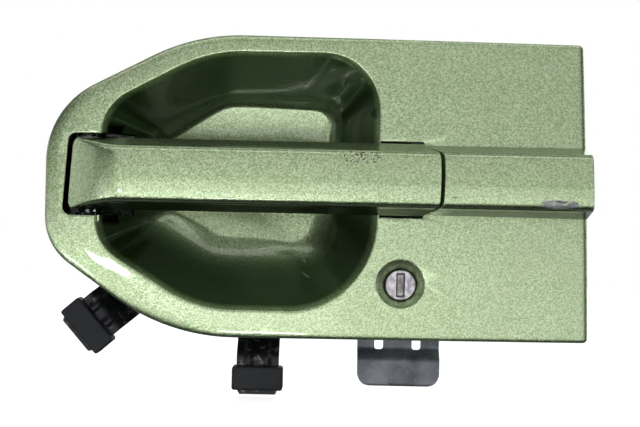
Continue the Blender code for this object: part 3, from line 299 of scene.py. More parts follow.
def panel_section(angle, edges, cup, floor):
    """Front and back of the shell along one ray from the cup's centre, as (distance, y)."""
    outer = ray_distance(edges[0.0], angle)
    cup_r = ray_distance(cup, angle)
    floor_r = ray_distance(floor, angle)

    def on_face(r, inset):
        x = CUP_CENTRE[0] + r * math.cos(angle)
        z = CUP_CENTRE[1] + r * math.sin(angle)
        return r, face_height(x, z) + edge_roll(x, inset)

    front = [(outer, FLANGE_Y)]
    front += [on_face(ray_distance(edges[inset], angle), inset) for inset in EDGE_INSETS]
    last_r = front[-1][0]
    slant = EDGE_INSETS[-1] / (outer - last_r)
    lip_start = cup_r + LIP_RADIUS
    for share in FACE_SHARES:
        r = last_r + (lip_start - last_r) * share
        front.append(on_face(r, EDGE_INSETS[-1] + (last_r - r) * slant))
    lip_y = on_face(lip_start, EDGE_INSETS[-1] + (last_r - lip_start) * slant)[1]
    for turn in LIP_TURNS:
        lean = math.radians(turn)
        front.append((lip_start - LIP_RADIUS * math.sin(lean), lip_y + LIP_RADIUS * (1 - math.cos(lean))))
    top_r, top_y = front[-1]
    lower = 0.5 - 0.5 * math.sin(angle)
    ridge_r = floor_r + RIDGE_OUTSET - RIDGE_OUTSET_LOSS * lower
    flat_r = floor_r - FLAT_INSET - FLAT_INSET_GAIN * lower
    ridge_y = FLOOR_Y - RIDGE_DEPTH
    for share in WALL_SHARES:
        depth = 1 - (1 - share) ** WALL_CURVE
        front.append((top_r + (ridge_r - top_r) * share, top_y + (ridge_y - top_y) * depth))
    for share in STEP_SHARES:
        depth = 1 - (1 - share) ** STEP_CURVE
        front.append((ridge_r + (flat_r - ridge_r) * share, ridge_y + RIDGE_DEPTH * depth))
    wall_start = 1 + len(EDGE_INSETS) + len(FACE_SHARES) + len(LIP_TURNS)
    flange_r = ray_distance(edges[FLANGE_WIDTH], angle)
    back = [(flange_r, FLANGE_Y), (flange_r - 0.2, on_face(flange_r, FLANGE_WIDTH)[1] + WALL)]
    for index in range(len(EDGE_INSETS) + 1, len(EDGE_INSETS) + 1 + len(FACE_SHARES)):
        back.append((front[index][0], front[index][1] + WALL))
    for index in list(range(wall_start - 2, len(front) - 1, 2)) + [len(front) - 1]:
        travel = Vector(front[min(index + 1, len(front) - 1)]) - Vector(front[index - 1])
        normal = Vector((travel.y, -travel.x)).normalized()
        if index > wall_start + len(WALL_SHARES):
            normal = Vector((0.0, 1.0))
        back.append((front[index][0] + normal.x * WALL, front[index][1] + normal.y * WALL))
    return front, back


def ring(bm, points):
    """A closed loop of edges through points."""
    corners = [bm.verts.new(point) for point in points]
    return [bm.edges.new(pair) for pair in zip(corners, corners[1:] + corners[:1])]


def skin(bm, loops):
    """Bridges each loop of points to the next, and fills the two end loops."""
    rings = [ring(bm, loop) for loop in loops]
    for first, second in zip(rings, rings[1:]):
        bmesh.ops.bridge_loops(bm, edges=first + second)
    bmesh.ops.edgeloop_fill(bm, edges=rings[0])
    bmesh.ops.edgeloop_fill(bm, edges=rings[-1])


def solid(name, bm, smooth=35.0, material=None):
    """Closes a bmesh in millimetres into an object in metres, with crisp edges past the smooth angle."""
    bmesh.ops.remove_doubles(bm, verts=bm.verts, dist=0.0005)
    bmesh.ops.recalc_face_normals(bm, faces=bm.faces)
    bmesh.ops.scale(bm, vec=(MM, MM, MM), verts=bm.verts)
    mesh = bpy.data.meshes.new(name)
    bm.to_mesh(mesh)
    bm.free()
    mesh.shade_smooth()
    mesh.set_sharp_from_angle(angle=math.radians(smooth))
    made = bpy.data.objects.new(name, mesh)
    bpy.context.scene.collection.objects.link(made)
    if material:
        mesh.materials.append(material)
    return made


def settle(piece, smooth=35.0):
    """Applies a piece's modifiers to its mesh and deletes the tools they used."""
    tools = [step.object for step in piece.modifiers if step.type == "BOOLEAN"]
    evaluated = piece.evaluated_get(bpy.context.evaluated_depsgraph_get())
    mesh = bpy.data.meshes.new_from_object(evaluated)
    piece.modifiers.clear()
    piece.data = mesh
    mesh.shade_smooth()
    mesh.set_sharp_from_angle(angle=math.radians(smooth))
    for tool in tools:
        bpy.data.objects.remove(tool)


def carve(piece, tool, operation="DIFFERENCE"):
    """Cuts, joins or intersects a piece with a tool when the piece is settled."""
    step = piece.modifiers.new(tool.name, "BOOLEAN")
    step.object = tool
    step.operation = operation
    step.solver = "EXACT"


def soften(piece, width, segments=3, angle=35.0):
    """Rounds the crisp edges of a piece."""
    step = piece.modifiers.new("soft_edges", "BEVEL")
    step.width = width * MM
    step.segments = segments
    step.limit_method = "ANGLE"
    step.angle_limit = math.radians(angle)
    step.harden_normals = True
    return piece


def show(piece, body, slot, *replaced):
    """The piece rides on a body and stands for the CAD nodes it replaces, which it hides; slot is not used.
    """
    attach(piece, body)
    if replaced:
        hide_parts(*replaced)


def on_axis(axis, a, b, station):
    """The point with cross coordinates a and b at a station along X, Y or Z."""
    if axis == "X":
        return (station, a, b)
    if axis == "Y":
        return (a, station, b)
    return (a, b, station)


def prism(name, outline, start, end, axis="Y", material=None):
    """Extrudes an outline between two stations along an axis."""
    bm = bmesh.new()
    edges = ring(bm, [on_axis(axis, a, b, start) for a, b in outline])
    face = bmesh.ops.edgeloop_fill(bm, edges=edges)["faces"]
    grown = bmesh.ops.extrude_face_region(bm, geom=face, use_keep_orig=True)
    moved = [item for item in grown["geom"] if isinstance(item, bmesh.types.BMVert)]
    bmesh.ops.translate(bm, vec=on_axis(axis, 0.0, 0.0, end - start), verts=moved)
    return solid(name, bm, material=material)


def round_outline(centre, radius, count):
    """Points of a circle, in the outline's own two coordinates."""
    return [(centre[0] + radius * math.cos(2 * math.pi * n / count),
             centre[1] + radius * math.sin(2 * math.pi * n / count)) for n in range(count)]


def flared_cutter(name, corners, depth_y, flare):
    """A cutter that opens out into the crowned face with a small rounded edge."""
    loops = []
    steps = ((flare + 1.6, -14.0), (flare, -0.02), (flare * 0.35, flare * 0.25), (0.0, flare * 0.9))
    for outset, rise in steps:
        outline = rounded(inset_corners(corners, -outset))
        loops.append([(x, face_height(x, z) + rise if rise > -1 else rise, z) for x, z in outline])
    loops.append([(x, depth_y, z) for x, z in rounded(corners)])
    bm = bmesh.new()
    skin(bm, loops)
    return solid(name, bm)


# Even rays round the cup's centre, with a tight fan at each of the panel's two sharp right-hand corners.
RAYS = 280
FAN_HALF_ANGLE = 0.028
FAN_STEPS = (-11, -8, -6, -4.5, -3, -1.5, 0, 1.5, 3, 4.5, 6, 8, 11)
angles = [2 * math.pi * step / RAYS for step in range(RAYS)]
for x, z, _ in (PANEL_CORNERS[0], PANEL_CORNERS[-1]):
    middle = math.atan2(z - CUP_CENTRE[1], x - CUP_CENTRE[0]) % (2 * math.pi)
    angles = [a for a in angles if abs(a - middle) > FAN_HALF_ANGLE]
    angles += [middle + 0.002 * step for step in FAN_STEPS]
angles.sort()
edges = {inset: rounded(inset_corners(PANEL_CORNERS, inset), 16) for inset in EDGE_INSETS + (FLANGE_WIDTH,)}
cup_outline = rounded(CUP_CORNERS, 16)
floor_outline = rounded(FLOOR_CORNERS, 12)
fronts, backs = zip(*[panel_section(angle, edges, cup_outline, floor_outline) for angle in angles])
loops = []
for sections in (zip(*[f[::-1] for f in fronts]), zip(*backs)):
    for station in sections:
        loops.append([(CUP_CENTRE[0] + r * math.cos(a), y, CUP_CENTRE[1] + r * math.sin(a))
                      for a, (r, y) in zip(angles, station)])
bm = bmesh.new()
skin(bm, loops)
panel = solid("escutcheon_shell", bm)

POCKET_CORNERS = [(-78.0, 16.8, 1), (-103.8, 16.8, 3.2), (-106.1, -17.3, 3.2), (-78.0, -17.3, 1)]
SLOT_CORNERS = [(44.5, 15.9, 0.8), (26.0, 15.9, 0.3), (26.0, -15.9, 0.3), (44.5, -15.9, 0.8)]
LOCK = (36.0, -44.0)
LOCK_FACE_Y = face_height(*LOCK)
LOCK_BORE = 6.6
housing = prism("pocket_housing", rounded(inset_corners(POCKET_CORNERS, -WALL)), -5.6, 11.5)
side = [(-112.0, -5.7), (-90.8, -5.7), (-88.0, 0.0), (-83.6, 9.0), (-82.2, 11.6), (-112.0, 11.6)]
carve(housing, prism("housing_side", side, -24.0, 24.0, "Z"), "INTERSECT")
settle(housing)
ledge = [(38.5, -18.0), (48.0, -18.0), (48.0, 18.0), (38.5, 18.0)]
carve(panel, housing, "UNION")
carve(panel, prism("slot_ledge", ledge, -6.6, -2.5), "UNION")
carve(panel, prism("lock_boss", round_outline(LOCK, 13.5, 48), -5.2, 1.0), "UNION")
carve(panel, flared_cutter("pocket_cut", POCKET_CORNERS, 9.0, 0.5))
carve(panel, flared_cutter("slot_cut", SLOT_CORNERS, -5.0, 0.3))
through = [(26.0, -15.5), (39.5, -15.5), (39.5, 15.5), (26.0, 15.5)]
carve(panel, prism("slot_through_cut", through, -12.0, 3.0))
dish = [(-3.0, 12.4), (-0.25, 10.9), (-0.03, 10.45), (0.1, 10.1), (0.35, 9.8), (0.8, 9.55), (3.4, 7.2),
        (3.75, 6.85), (4.2, LOCK_BORE)]
dish_loops = []
for rise, radius in dish:
    dish_loops.append([(x, LOCK_FACE_Y + rise, z) for x, z in round_outline(LOCK, radius, 64)])
dish_loops.append([(x, 4.0, z) for x, z in round_outline(LOCK, LOCK_BORE, 64)])
bm = bmesh.new()
skin(bm, dish_loops)
carve(panel, solid("lock_dish_cut", bm))
settle(panel, 32.0)


def hairline(tree, place):
    """A few fine scratches on the upper face."""
    turned = node(tree, "ShaderNodeMapping", {"Vector": place, "Rotation": (0.0, math.radians(-14), 0.0),
                                              "Scale": (14.0, 14.0, 900.0)})
    lines = node(tree, "ShaderNodeTexNoise", {"Vector": turned.outputs[0], "Scale": 1.0, "Detail": 1.0})
    area = patch(tree, place, (36.0, -8.0, 37.0), (13.0, 4.0, 4.0))
    return zone(tree, [(lines.outputs[0], 0.735, 0.75), (area, 0.0, 1.0)])


panel_paint = green_metallic("green_metallic_lacquer", [(hairline, "7F8F70", 0.4)])
panel.data.materials.append(panel_paint)
show(panel, "panel", "panel_paint", "escutcheon_panel")

# Bosses and stiffening ribs cast into the back of the shell: lug screws, studs, bracket, hinge pin, clip.
LUGS = {"left": (-96.3, -64.5, 221.0, 20.0), "bottom": (-23.6, -85.4, 270.0, 18.0)}
STUDS = ((72.5, 44.0), (94.0, -36.0))
BRACKET_SCREWS = ((31.0, 40.0), (57.0, 40.0), (57.0, -17.0))
HINGE = (-97.0, 3.0)
PAD_STATION = 34.0
LUG_SCREW_STATION = 7.5
LUG_SCREW_SPREAD = 4.5
BOSS_EDGE = 0.3
BOSS_BORE_DEPTH = 5.0
BOSS_ROOT = 1.2
CLIP_RAIL_REACH = 16.5


def lug_frame(key):
    """Start point, direction and cross direction of a lug in the XZ plane."""
    x, z, degrees, _ = LUGS[key]
    along = Vector((math.cos(math.radians(degrees)), math.sin(math.radians(degrees))))
    return Vector((x, z)) - along * PAD_STATION, along, Vector((-along.y, along.x))


def tube(bm, centre, radius, start, end, bore=0.0, axis="Y", count=28):
    """Adds a turned boss with an optional blind bore, by spinning its profile."""
    inward = math.copysign(1.0, end - start)
    profile = [(0.0, start), (radius, start), (radius, end - BOSS_EDGE * inward), (radius - BOSS_EDGE, end)]
    if bore:
        profile += [(bore, end), (bore, end - BOSS_BORE_DEPTH * inward),
                    (0.0, end - BOSS_BORE_DEPTH * inward)]
    else:
        profile += [(0.0, end)]
    corners = [bm.verts.new(on_axis(axis, centre[0] + r, centre[1], station)) for r, station in profile]
    path = [bm.edges.new(pair) for pair in zip(corners, corners[1:])]
    bmesh.ops.spin(bm, geom=corners + path, cent=on_axis(axis, centre[0], centre[1], 0.0),
                   axis=on_axis(axis, 0.0, 0.0, 1.0), angle=2 * math.pi, steps=count, use_merge=True)


bm = bmesh.new()
for key in LUGS:
    start, along, across = lug_frame(key)
    for side in (-LUG_SCREW_SPREAD, LUG_SCREW_SPREAD):
        tube(bm, tuple(start + along * LUG_SCREW_STATION + across * side), 3.0, -4.4, 12.0)
for place in STUDS:
    tube(bm, place, 6.0, face_height(*place) + BOSS_ROOT, -0.6, 3.2)
for place in BRACKET_SCREWS:
    tube(bm, place, 4.0, face_height(*place) + BOSS_ROOT, 0.2)
tube(bm, HINGE, 5.2, 16.0, 20.6, axis="Z")
tube(bm, HINGE, 5.2, -16.5, -21.1, axis="Z")
show(solid("shell_bosses", bm, material=panel_paint), "panel", "panel_paint")
for index, x in enumerate((84.0, 103.0)):
    for half, (low, high) in (("upper", (17.0, 52.0)), ("lower", (-60.0, -17.5))):
        outline = [(face_height(x, low) + BOSS_ROOT, low), (face_height(x, high) + BOSS_ROOT, high)]
        outline += [(-2.6, high), (-2.6, low)]
        rib = prism(f"shell_rib_{half}_{index}", outline, x - 0.8, x + 0.8, "X", panel_paint)
        show(soften(rib, 0.25, 2), "panel", "panel_paint")
for index, side in enumerate((-1, 1)):
    edge = LOCK[0] + side * CLIP_RAIL_REACH
    rail = [(edge - side, -2.5), (edge + side * 2.0, -2.5), (edge + side * 2.0, 8.6)]
    rail += [(edge - side * 3.2, 8.6), (edge - side * 3.2, 6.6), (edge - side, 6.6)]
    guide = prism(f"clip_rail_{index}", rail, -52.0, -38.0, "Z", panel_paint)
    show(soften(guide, 0.25, 2), "panel", "panel_paint")

# ---- Fixed strip ----
# Raised moulding that carries the strap's line on to the panel's right edge, one casting with the panel.
# Its lower edge has been scraped through the lacquer to the grey primer.
STRAP_BASE_Y = -9.5
STRAP_FRONT_Y = -21.0
STRAP_RIGHT = 50.5
SPLIT_GAP = 1.7
STRIP_END = 112.65
STRIP_END_RAKE = 0.036
SCRAPE_PLACE = (98.6, -19.6, -9.0)
SCRAPE_REACH = (8.4, 4.0, 1.9)


def strap_section(front_y, base_y, narrow=0.0):
    """Section of the strap as (y, z): drafted walls, rounded edges and a crowned front."""
    scale = min(max((STRAP_BASE_Y - front_y) / 11.5, 0.25), 1.0)
    edge = 3.6 * scale
    crown = 0.45 * scale
    wall_top = front_y + edge + 0.2
    wall_z = 14.9 - 0.4 * max(0.0, STRAP_BASE_Y - wall_top) - narrow
    base_z = 14.9 - 0.4 * max(0.0, STRAP_BASE_Y - base_y) - narrow
    half = [(base_y, base_z)]
    for share in (0.5, 0.85):
        half.append((base_y + (wall_top - base_y) * share, base_z + (wall_z - base_z) * share))
    for step in range(9):
        lean = math.radians(10.5 * step)
        half.append((wall_top - (wall_top - front_y - crown) * math.sin(lean),
                     wall_z - edge * (1 - math.cos(lean))))
    face_z = half[-1][1]
    top_y = half[-1][0]
    for share in (0.8, 0.6, 0.4, 0.2):
        half.append((front_y + (top_y - front_y) * share ** 2, face_z * share))
    return half + [(front_y, 0.0)] + [(y, -z) for y, z in half[::-1]]


def split_x(x, y):
    """The split between strap and strip leans over with depth."""
    return x - 0.55 * (y - STRAP_FRONT_Y)


section = strap_section(STRAP_FRONT_Y, -6.2)
strip_loops = [[(split_x(STRAP_RIGHT + SPLIT_GAP, y), y, z) for y, z in section]]
for share in (0.2, 0.4, 0.6, 0.8, 1.0):
    strip_loops.append([
        (split_x(STRAP_RIGHT + SPLIT_GAP, y) * (1 - share) + (STRIP_END - STRIP_END_RAKE * z) * share, y, z)
        for y, z in section])
bm = bmesh.new()
skin(bm, strip_loops)


def scrape(tree, place):
    """Where the lower edge was dragged along a wall."""
    streaks = node(tree, "ShaderNodeMapping", {"Vector": place, "Scale": (260.0, 260.0, 1500.0)})
    torn = node(tree, "ShaderNodeTexNoise",
                {"Vector": streaks.outputs[0], "Scale": 1.0, "Detail": 3.0}).outputs[0]
    area = patch(tree, place, SCRAPE_PLACE, SCRAPE_REACH, 0.25, 500.0)
    return zone(tree, [(area, 0.0, 1.0), (torn, 0.36, 0.42)])


def gouges(tree, place):
    """Dark scratches inside the scrape."""
    streaks = node(tree, "ShaderNodeMapping", {"Vector": place, "Rotation": (0.0, math.radians(9), 0.0),
                                               "Scale": (240.0, 240.0, 1400.0)})
    torn = node(tree, "ShaderNodeTexNoise",
                {"Vector": streaks.outputs[0], "Scale": 1.3, "Detail": 4.0}).outputs[0]
    area = patch(tree, place, SCRAPE_PLACE, SCRAPE_REACH, 0.3, 700.0)
    return zone(tree, [(area, 0.0, 1.0), (torn, 0.545, 0.59)])


def scuff(tree, place):
    """One small rub mark beside the split."""
    return zone(tree, [(patch(tree, place, (56.0, -21.0, -7.0), (1.5, 3.0, 0.6), 0.5), 0.0, 1.0)], 0.45)


strip_paint = green_metallic("green_metallic_lacquer_scraped",
                             [(scrape, "A9ABAF", 0.45), (gouges, "2E3038", 0.5), (scuff, "6E7568", 0.5)])
strip = soften(solid("fixed_strip", bm, material=strip_paint), 0.45, 3, 40.0)
show(strip, "panel", "panel_paint")

# ---- Pull strap ----
# Moulded cover about 153 x 30 mm in the panel's colour, hollow at the back, screwed to a cast carrier.
# It pivots in the pocket at its left end; its top has picked up a patch of dark specks of tar.
def strap_front(x):
    """Front of the strap: level, then sloping down into the pocket at the hinge end."""
    share = max(0.0, (-80.0 - x) / 22.3)
    return STRAP_FRONT_Y + 11.7 * share ** 1.8


def strap_base(x):
    """Back edge of the cover, deeper over the hinge."""
    share = min(max((-83.6 - x) / 8.4, 0.0), 1.0)
    return STRAP_BASE_Y + 6.0 * share


END_RADIUS = 2.8
stations = []
for step in range(8):
    lean = math.radians(90 * step / 7)
    stations.append((-102.3 + END_RADIUS * (1 - math.cos(lean)), END_RADIUS * (1 - math.sin(lean))))
stations += [(-98.3 + 1.15 * step, 0.0) for step in range(14)]
stations += [(x, 0.0) for x in (-82.2, -81.0, -79.0, -70.0, -50.0, -30.0, -10.0, 10.0, 30.0)]
strap_loops = []
for x, narrow in stations:
    fade = min(max((-84.0 - x) / 10.0, 0.0), 1.0)
    strap_loops.append([(x + 0.065 * z * fade, y, z)
                        for y, z in strap_section(strap_front(x), strap_base(x), narrow)])
strap_loops.append([(split_x(STRAP_RIGHT, y), y, z) for y, z in strap_section(STRAP_FRONT_Y, STRAP_BASE_Y)])
bm = bmesh.new()
skin(bm, strap_loops)


def on_base(vert):
    """Whether a vertex lies on the cover's open back."""
    y = vert.co.y
    return min(abs(y - strap_base(vert.co.x)), abs(y - STRAP_BASE_Y)) < 0.05


under = [face for face in bm.faces if all(on_base(vert) for vert in face.verts)]
bmesh.ops.delete(bm, geom=under, context="FACES_ONLY")


def specks(tree, place):
    """Tar specks on the upper part of the strap, just left of the lock end."""
    dots = node(tree, "ShaderNodeTexNoise",
                {"Vector": place, "Scale": 1 / (0.9 * MM), "Detail": 3.0}).outputs[0]
    area = patch(tree, place, (18.0, -20.5, 8.4), (7.5, 4.0, 2.8), 0.6, 260.0)
    return zone(tree, [(area, 0.0, 1.0), (dots, 0.54, 0.58)], 0.95)


def dust(tree, place):
    """Lone specks over the whole strap."""
    dots = node(tree, "ShaderNodeTexNoise",
                {"Vector": place, "Scale": 1 / (1.6 * MM), "Detail": 2.0}).outputs[0]
    return zone(tree, [(dots, 0.765, 0.785)])


strap_paint = green_metallic("green_metallic_lacquer_specked",
                             [(specks, "3A3226", 0.6), (dust, "55583F", 0.6)])
strap = solid("pull_strap_cover", bm, material=strap_paint)
wall = strap.modifiers.new("wall", "SOLIDIFY")
wall.thickness = 2.0 * MM
wall.offset = -1.0
soften(strap, 0.4, 3, 40.0)
show(strap, "grip", "grip_paint", "grip_cover")

# ---- Lock ----
# Die-cast zinc cylinder lock in a dished seat: a worn face cap, 12.6 mm across, with a narrow key slot.
# A sprung shutter closes the slot just behind the cap.
def worn_zinc(name, high, low):
    """Zinc alloy rubbed by keys: grey-lilac metal with fine crossing scratches and dull stains."""
    made, tree, shader, place = new_material(name, 0.4, 0.85)
    stains = node(tree, "ShaderNodeTexNoise",
                  {"Vector": place, "Scale": 1 / (2.5 * MM), "Detail": 6.0}).outputs[0]
    dull = node(tree, "ShaderNodeMapRange", {0: stains, 1: 0.35, 2: 0.68}).outputs[0]
    colour = node(tree, "ShaderNodeMix", {0: dull, 6: linear(high), 7: linear(low)},
                  data_type="RGBA").outputs[2]
    tree.links.new(colour, shader.inputs["Base Color"])
    for turn in (20, 75, -40):
        drawn = node(tree, "ShaderNodeMapping", {"Vector": place, "Rotation": (0.0, math.radians(turn), 0.0),
                                                 "Scale": (400.0, 400.0, 5000.0)})
        lines = node(tree, "ShaderNodeTexNoise", {"Vector": drawn.outputs[0], "Scale": 1.0}).outputs[0]
        chain = node(tree, "ShaderNodeBump", {"Height": lines, "Strength": 0.2, "Distance": 0.02 * MM})
        if shader.inputs["Normal"].is_linked:
            tree.links.new(shader.inputs["Normal"].links[0].from_socket, chain.inputs["Normal"])
        tree.links.new(chain.outputs[0], shader.inputs["Normal"])
    rough = node(tree, "ShaderNodeMapRange", {0: stains, 1: 0.3, 2: 0.7, 3: 0.3, 4: 0.55}).outputs[0]
    tree.links.new(rough, shader.inputs["Roughness"])
    return made


lock_zinc = worn_zinc("worn_zinc_alloy", "E6E1E8", "A8A3AB")
SLOT_HALF_WIDTH = 1.75
SLOT_HALF_HEIGHT = 5.1
bm = bmesh.new()
tube(bm, LOCK, 6.3, -3.3, -4.4, count=64)
cap = solid("lock_face", bm, material=lock_zinc)
slot_corners = [(LOCK[0] + across * SLOT_HALF_WIDTH, LOCK[1] + up * SLOT_HALF_HEIGHT, 0.5)
                for across, up in ((1, 1), (-1, 1), (-1, -1), (1, -1))]
carve(cap, prism("key_slot_cut", rounded(slot_corners, 4), -6.0, -2.0))
settle(cap)
show(soften(cap, 0.12, 2, 40.0), "lock_plug", "lock_metal", "lock_face_cap")
shutter_metal = worn_zinc("shutter_zinc_alloy", "B3B1AE", "6A6866")
leaf = [(LOCK[0] - 1.4, LOCK[1] - 4.5), (LOCK[0] + 1.4, LOCK[1] - 4.5), (LOCK[0] + 1.4, LOCK[1] + 4.5),
        (LOCK[0] - 1.4, LOCK[1] + 4.5)]
shutter = prism("key_slot_shutter", leaf, -3.6, -2.7, "Y", shutter_metal)
show(soften(shutter, 0.2, 2, 40.0), "key_shutter", "lock_metal", "key_shutter")

# ---- Hook lugs ----
# Two pressed steel straps, 2.5 mm thick, joggled forward to hook behind the door skin, on two screws each.
# Two beads pressed along each one stiffen it, and the black coating is worn to steel in patches.
def coated_steel(name, wear):
    """Black cathodic coating on steel: satin, slightly orange-peeled, rubbed to grey metal in patches."""
    made, tree, shader, place = new_material(name, 0.42, 0.5)
    rubbed = node(tree, "ShaderNodeTexNoise", {"Vector": place, "Scale": 1 / (3.0 * MM), "Detail": 8.0,
                                               "Roughness": 0.65}).outputs[0]
    grain = node(tree, "ShaderNodeTexNoise",
                 {"Vector": place, "Scale": 1 / (0.5 * MM), "Detail": 2.0}).outputs[0]
    bare = node(tree, "ShaderNodeMapRange", {0: rubbed, 1: 0.7 - 0.2 * wear, 2: 0.8 - 0.2 * wear}).outputs[0]
    peel = node(tree, "ShaderNodeMapRange", {0: grain, 1: 0.3, 2: 0.7}).outputs[0]
    coat = node(tree, "ShaderNodeMix", {0: peel, 6: linear("17181B"), 7: linear("2B2D31")},
                data_type="RGBA").outputs[2]
    colour = node(tree, "ShaderNodeMix", {0: bare, 6: coat, 7: linear("7D7B78")},
                  data_type="RGBA").outputs[2]
    rough = node(tree, "ShaderNodeMapRange", {0: grain, 1: 0.2, 2: 0.8, 3: 0.34, 4: 0.55}).outputs[0]
    tree.links.new(colour, shader.inputs["Base Color"])
    tree.links.new(rough, shader.inputs["Roughness"])
    bump = node(tree, "ShaderNodeBump", {"Height": rubbed, "Strength": 0.25, "Distance": 0.2 * MM})
    tree.links.new(bump.outputs[0], shader.inputs["Normal"])
    return made


def moulded_rubber(name, tone="1C1E22", pale="2A2D33"):
    """Black moulded rubber: matt, faintly dusty, with a soft sheen on its rounded edges."""
    made, tree, shader, place = new_material(name, 0.62)
    dusty = node(tree, "ShaderNodeTexNoise",
                 {"Vector": place, "Scale": 1 / (4.0 * MM), "Detail": 8.0}).outputs[0]
    grain = node(tree, "ShaderNodeTexNoise",
                 {"Vector": place, "Scale": 1 / (0.4 * MM), "Detail": 2.0}).outputs[0]
    film = node(tree, "ShaderNodeMapRange", {0: dusty, 1: 0.4, 2: 0.75}).outputs[0]
    colour = node(tree, "ShaderNodeMix", {0: film, 6: linear(tone), 7: linear(pale)},
                  data_type="RGBA").outputs[2]
    rough = node(tree, "ShaderNodeMapRange", {0: dusty, 1: 0.3, 2: 0.7, 3: 0.55, 4: 0.75}).outputs[0]
    tree.links.new(colour, shader.inputs["Base Color"])
    tree.links.new(rough, shader.inputs["Roughness"])
    bump = node(tree, "ShaderNodeBump", {"Height": grain, "Strength": 0.3, "Distance": 0.08 * MM})
    tree.links.new(bump.outputs[0], shader.inputs["Normal"])
    return made


def face_front(bm):
    """Turns the faces of an open sheet towards the front."""
    bmesh.ops.recalc_face_normals(bm, faces=bm.faces)
    for face in bm.faces:
        face.normal_update()
    if sum(face.normal.y for face in bm.faces) > 0:
        bmesh.ops.reverse_faces(bm, faces=bm.faces)


LUG_START = 0.5
LUG_END = 41.0
LUG_ROOT_Y = 12.3
LUG_TIP_Y = 4.6
JOGGLE_START = 15.5
JOGGLE_LENGTH = 10.0
PLATE = 2.5
BEAD_MIDDLE = 0.42
BEAD_REACH = 0.22
BEAD_HEIGHT = 1.1
lug_steel = coated_steel("black_coated_pressed_steel", 0.75)
pad_rubber = moulded_rubber("black_moulded_rubber")
for key, (x, z, degrees, width) in LUGS.items():
    start, along, across = lug_frame(key)
    half = width / 2
    bm = bmesh.new()
    bmesh.ops.create_grid(bm, x_segments=64, y_segments=28, size=0.5)
    for vert in bm.verts:
        station = LUG_START + (vert.co.x + 0.5) * (LUG_END - LUG_START)
        side = vert.co.y * 2
        tip = max(0.0, (station - LUG_END + 4.0) / 4.0)
        reach = half * (1 - 0.16 * tip ** 2)
        fall = min(max((station - JOGGLE_START) / JOGGLE_LENGTH, 0.0), 1.0)
        y = LUG_ROOT_Y + (LUG_TIP_Y - LUG_ROOT_Y) * fall * fall * (3 - 2 * fall)
        from_bead = min(abs(abs(side) - BEAD_MIDDLE), BEAD_REACH)
        bead = math.cos(math.pi / 2 * from_bead / BEAD_REACH)
        run = min(max((station - 12.0) / 4.0, 0.0), 1.0) * min(max((31.0 - station) / 3.0, 0.0), 1.0)
        point = start + along * station + across * side * reach
        vert.co = (point.x, y - BEAD_HEIGHT * bead * run, point.y)
    face_front(bm)
    bmesh.ops.scale(bm, vec=(MM, MM, MM), verts=bm.verts)
    mesh = bpy.data.meshes.new(f"lug_strap_{key}")
    bm.to_mesh(mesh)
    bm.free()
    mesh.shade_smooth()
    mesh.materials.append(lug_steel)
    lug = bpy.data.objects.new(f"lug_strap_{key}", mesh)
    bpy.context.scene.collection.objects.link(lug)
    plate = lug.modifiers.new("plate", "SOLIDIFY")
    plate.thickness = PLATE * MM
    plate.offset = -1.0
    soften(lug, 0.35, 2, 50.0)
    show(lug, "panel", "black_steel", f"hook_lug_{key}")
    reach = half + 1.8
    bm = bmesh.new()
    bmesh.ops.create_cube(bm, size=1.0)
    bmesh.ops.scale(bm, vec=(10.0, 9.2, 2 * reach), verts=bm.verts)
    bmesh.ops.bevel(bm, geom=bm.edges[:], offset=1.1, segments=4, profile=0.5, affect="EDGES", material=-1)
    bmesh.ops.rotate(bm, cent=(0, 0, 0), matrix=Matrix.Rotation(math.radians(-degrees), 3, "Y"),
                     verts=bm.verts)
    bmesh.ops.translate(bm, vec=(x, 5.8, z), verts=bm.verts)
    show(solid(f"lug_pad_{key}_moulding", bm, material=pad_rubber), "panel", "rubber", f"lug_pad_{key}")

# ---- Lock retaining clip ----
# Spring-steel slide, 1.2 mm thick, pushed over the barrel's groove from below to hold the lock in its seat.
# Its curved finger tail, with two pressing windows, stands out under the panel's lower edge.
def spring_steel(name, wear=0.5):
    """Dark phosphated spring steel: blue-grey, grainy, rubbed bright in fine speckles."""
    made, tree, shader, place = new_material(name, 0.45, 0.45)
    worn = node(tree, "ShaderNodeTexNoise", {"Vector": place, "Scale": 1 / (1.1 * MM), "Detail": 7.0,
                                             "Roughness": 0.7}).outputs[0]
    broad = node(tree, "ShaderNodeTexNoise",
                 {"Vector": place, "Scale": 1 / (9.0 * MM), "Detail": 3.0}).outputs[0]
    cloud = node(tree, "ShaderNodeMapRange", {0: broad, 1: 0.35, 2: 0.65}).outputs[0]
    base = node(tree, "ShaderNodeMix", {0: cloud, 6: linear("5C6068"), 7: linear("868A92")},
                data_type="RGBA").outputs[2]
    bright = node(tree, "ShaderNodeMapRange", {0: worn, 1: 0.66 - 0.2 * wear, 2: 0.8}).outputs[0]
    colour = node(tree, "ShaderNodeMix", {0: bright, 6: base, 7: linear("C2C4C8")},
                  data_type="RGBA").outputs[2]
    rough = node(tree, "ShaderNodeMapRange", {0: worn, 1: 0.3, 2: 0.7, 3: 0.35, 4: 0.6}).outputs[0]
    tree.links.new(colour, shader.inputs["Base Color"])
    tree.links.new(rough, shader.inputs["Roughness"])
    bump = node(tree, "ShaderNodeBump", {"Height": worn, "Strength": 0.35, "Distance": 0.1 * MM})
    tree.links.new(bump.outputs[0], shader.inputs["Normal"])
    return made


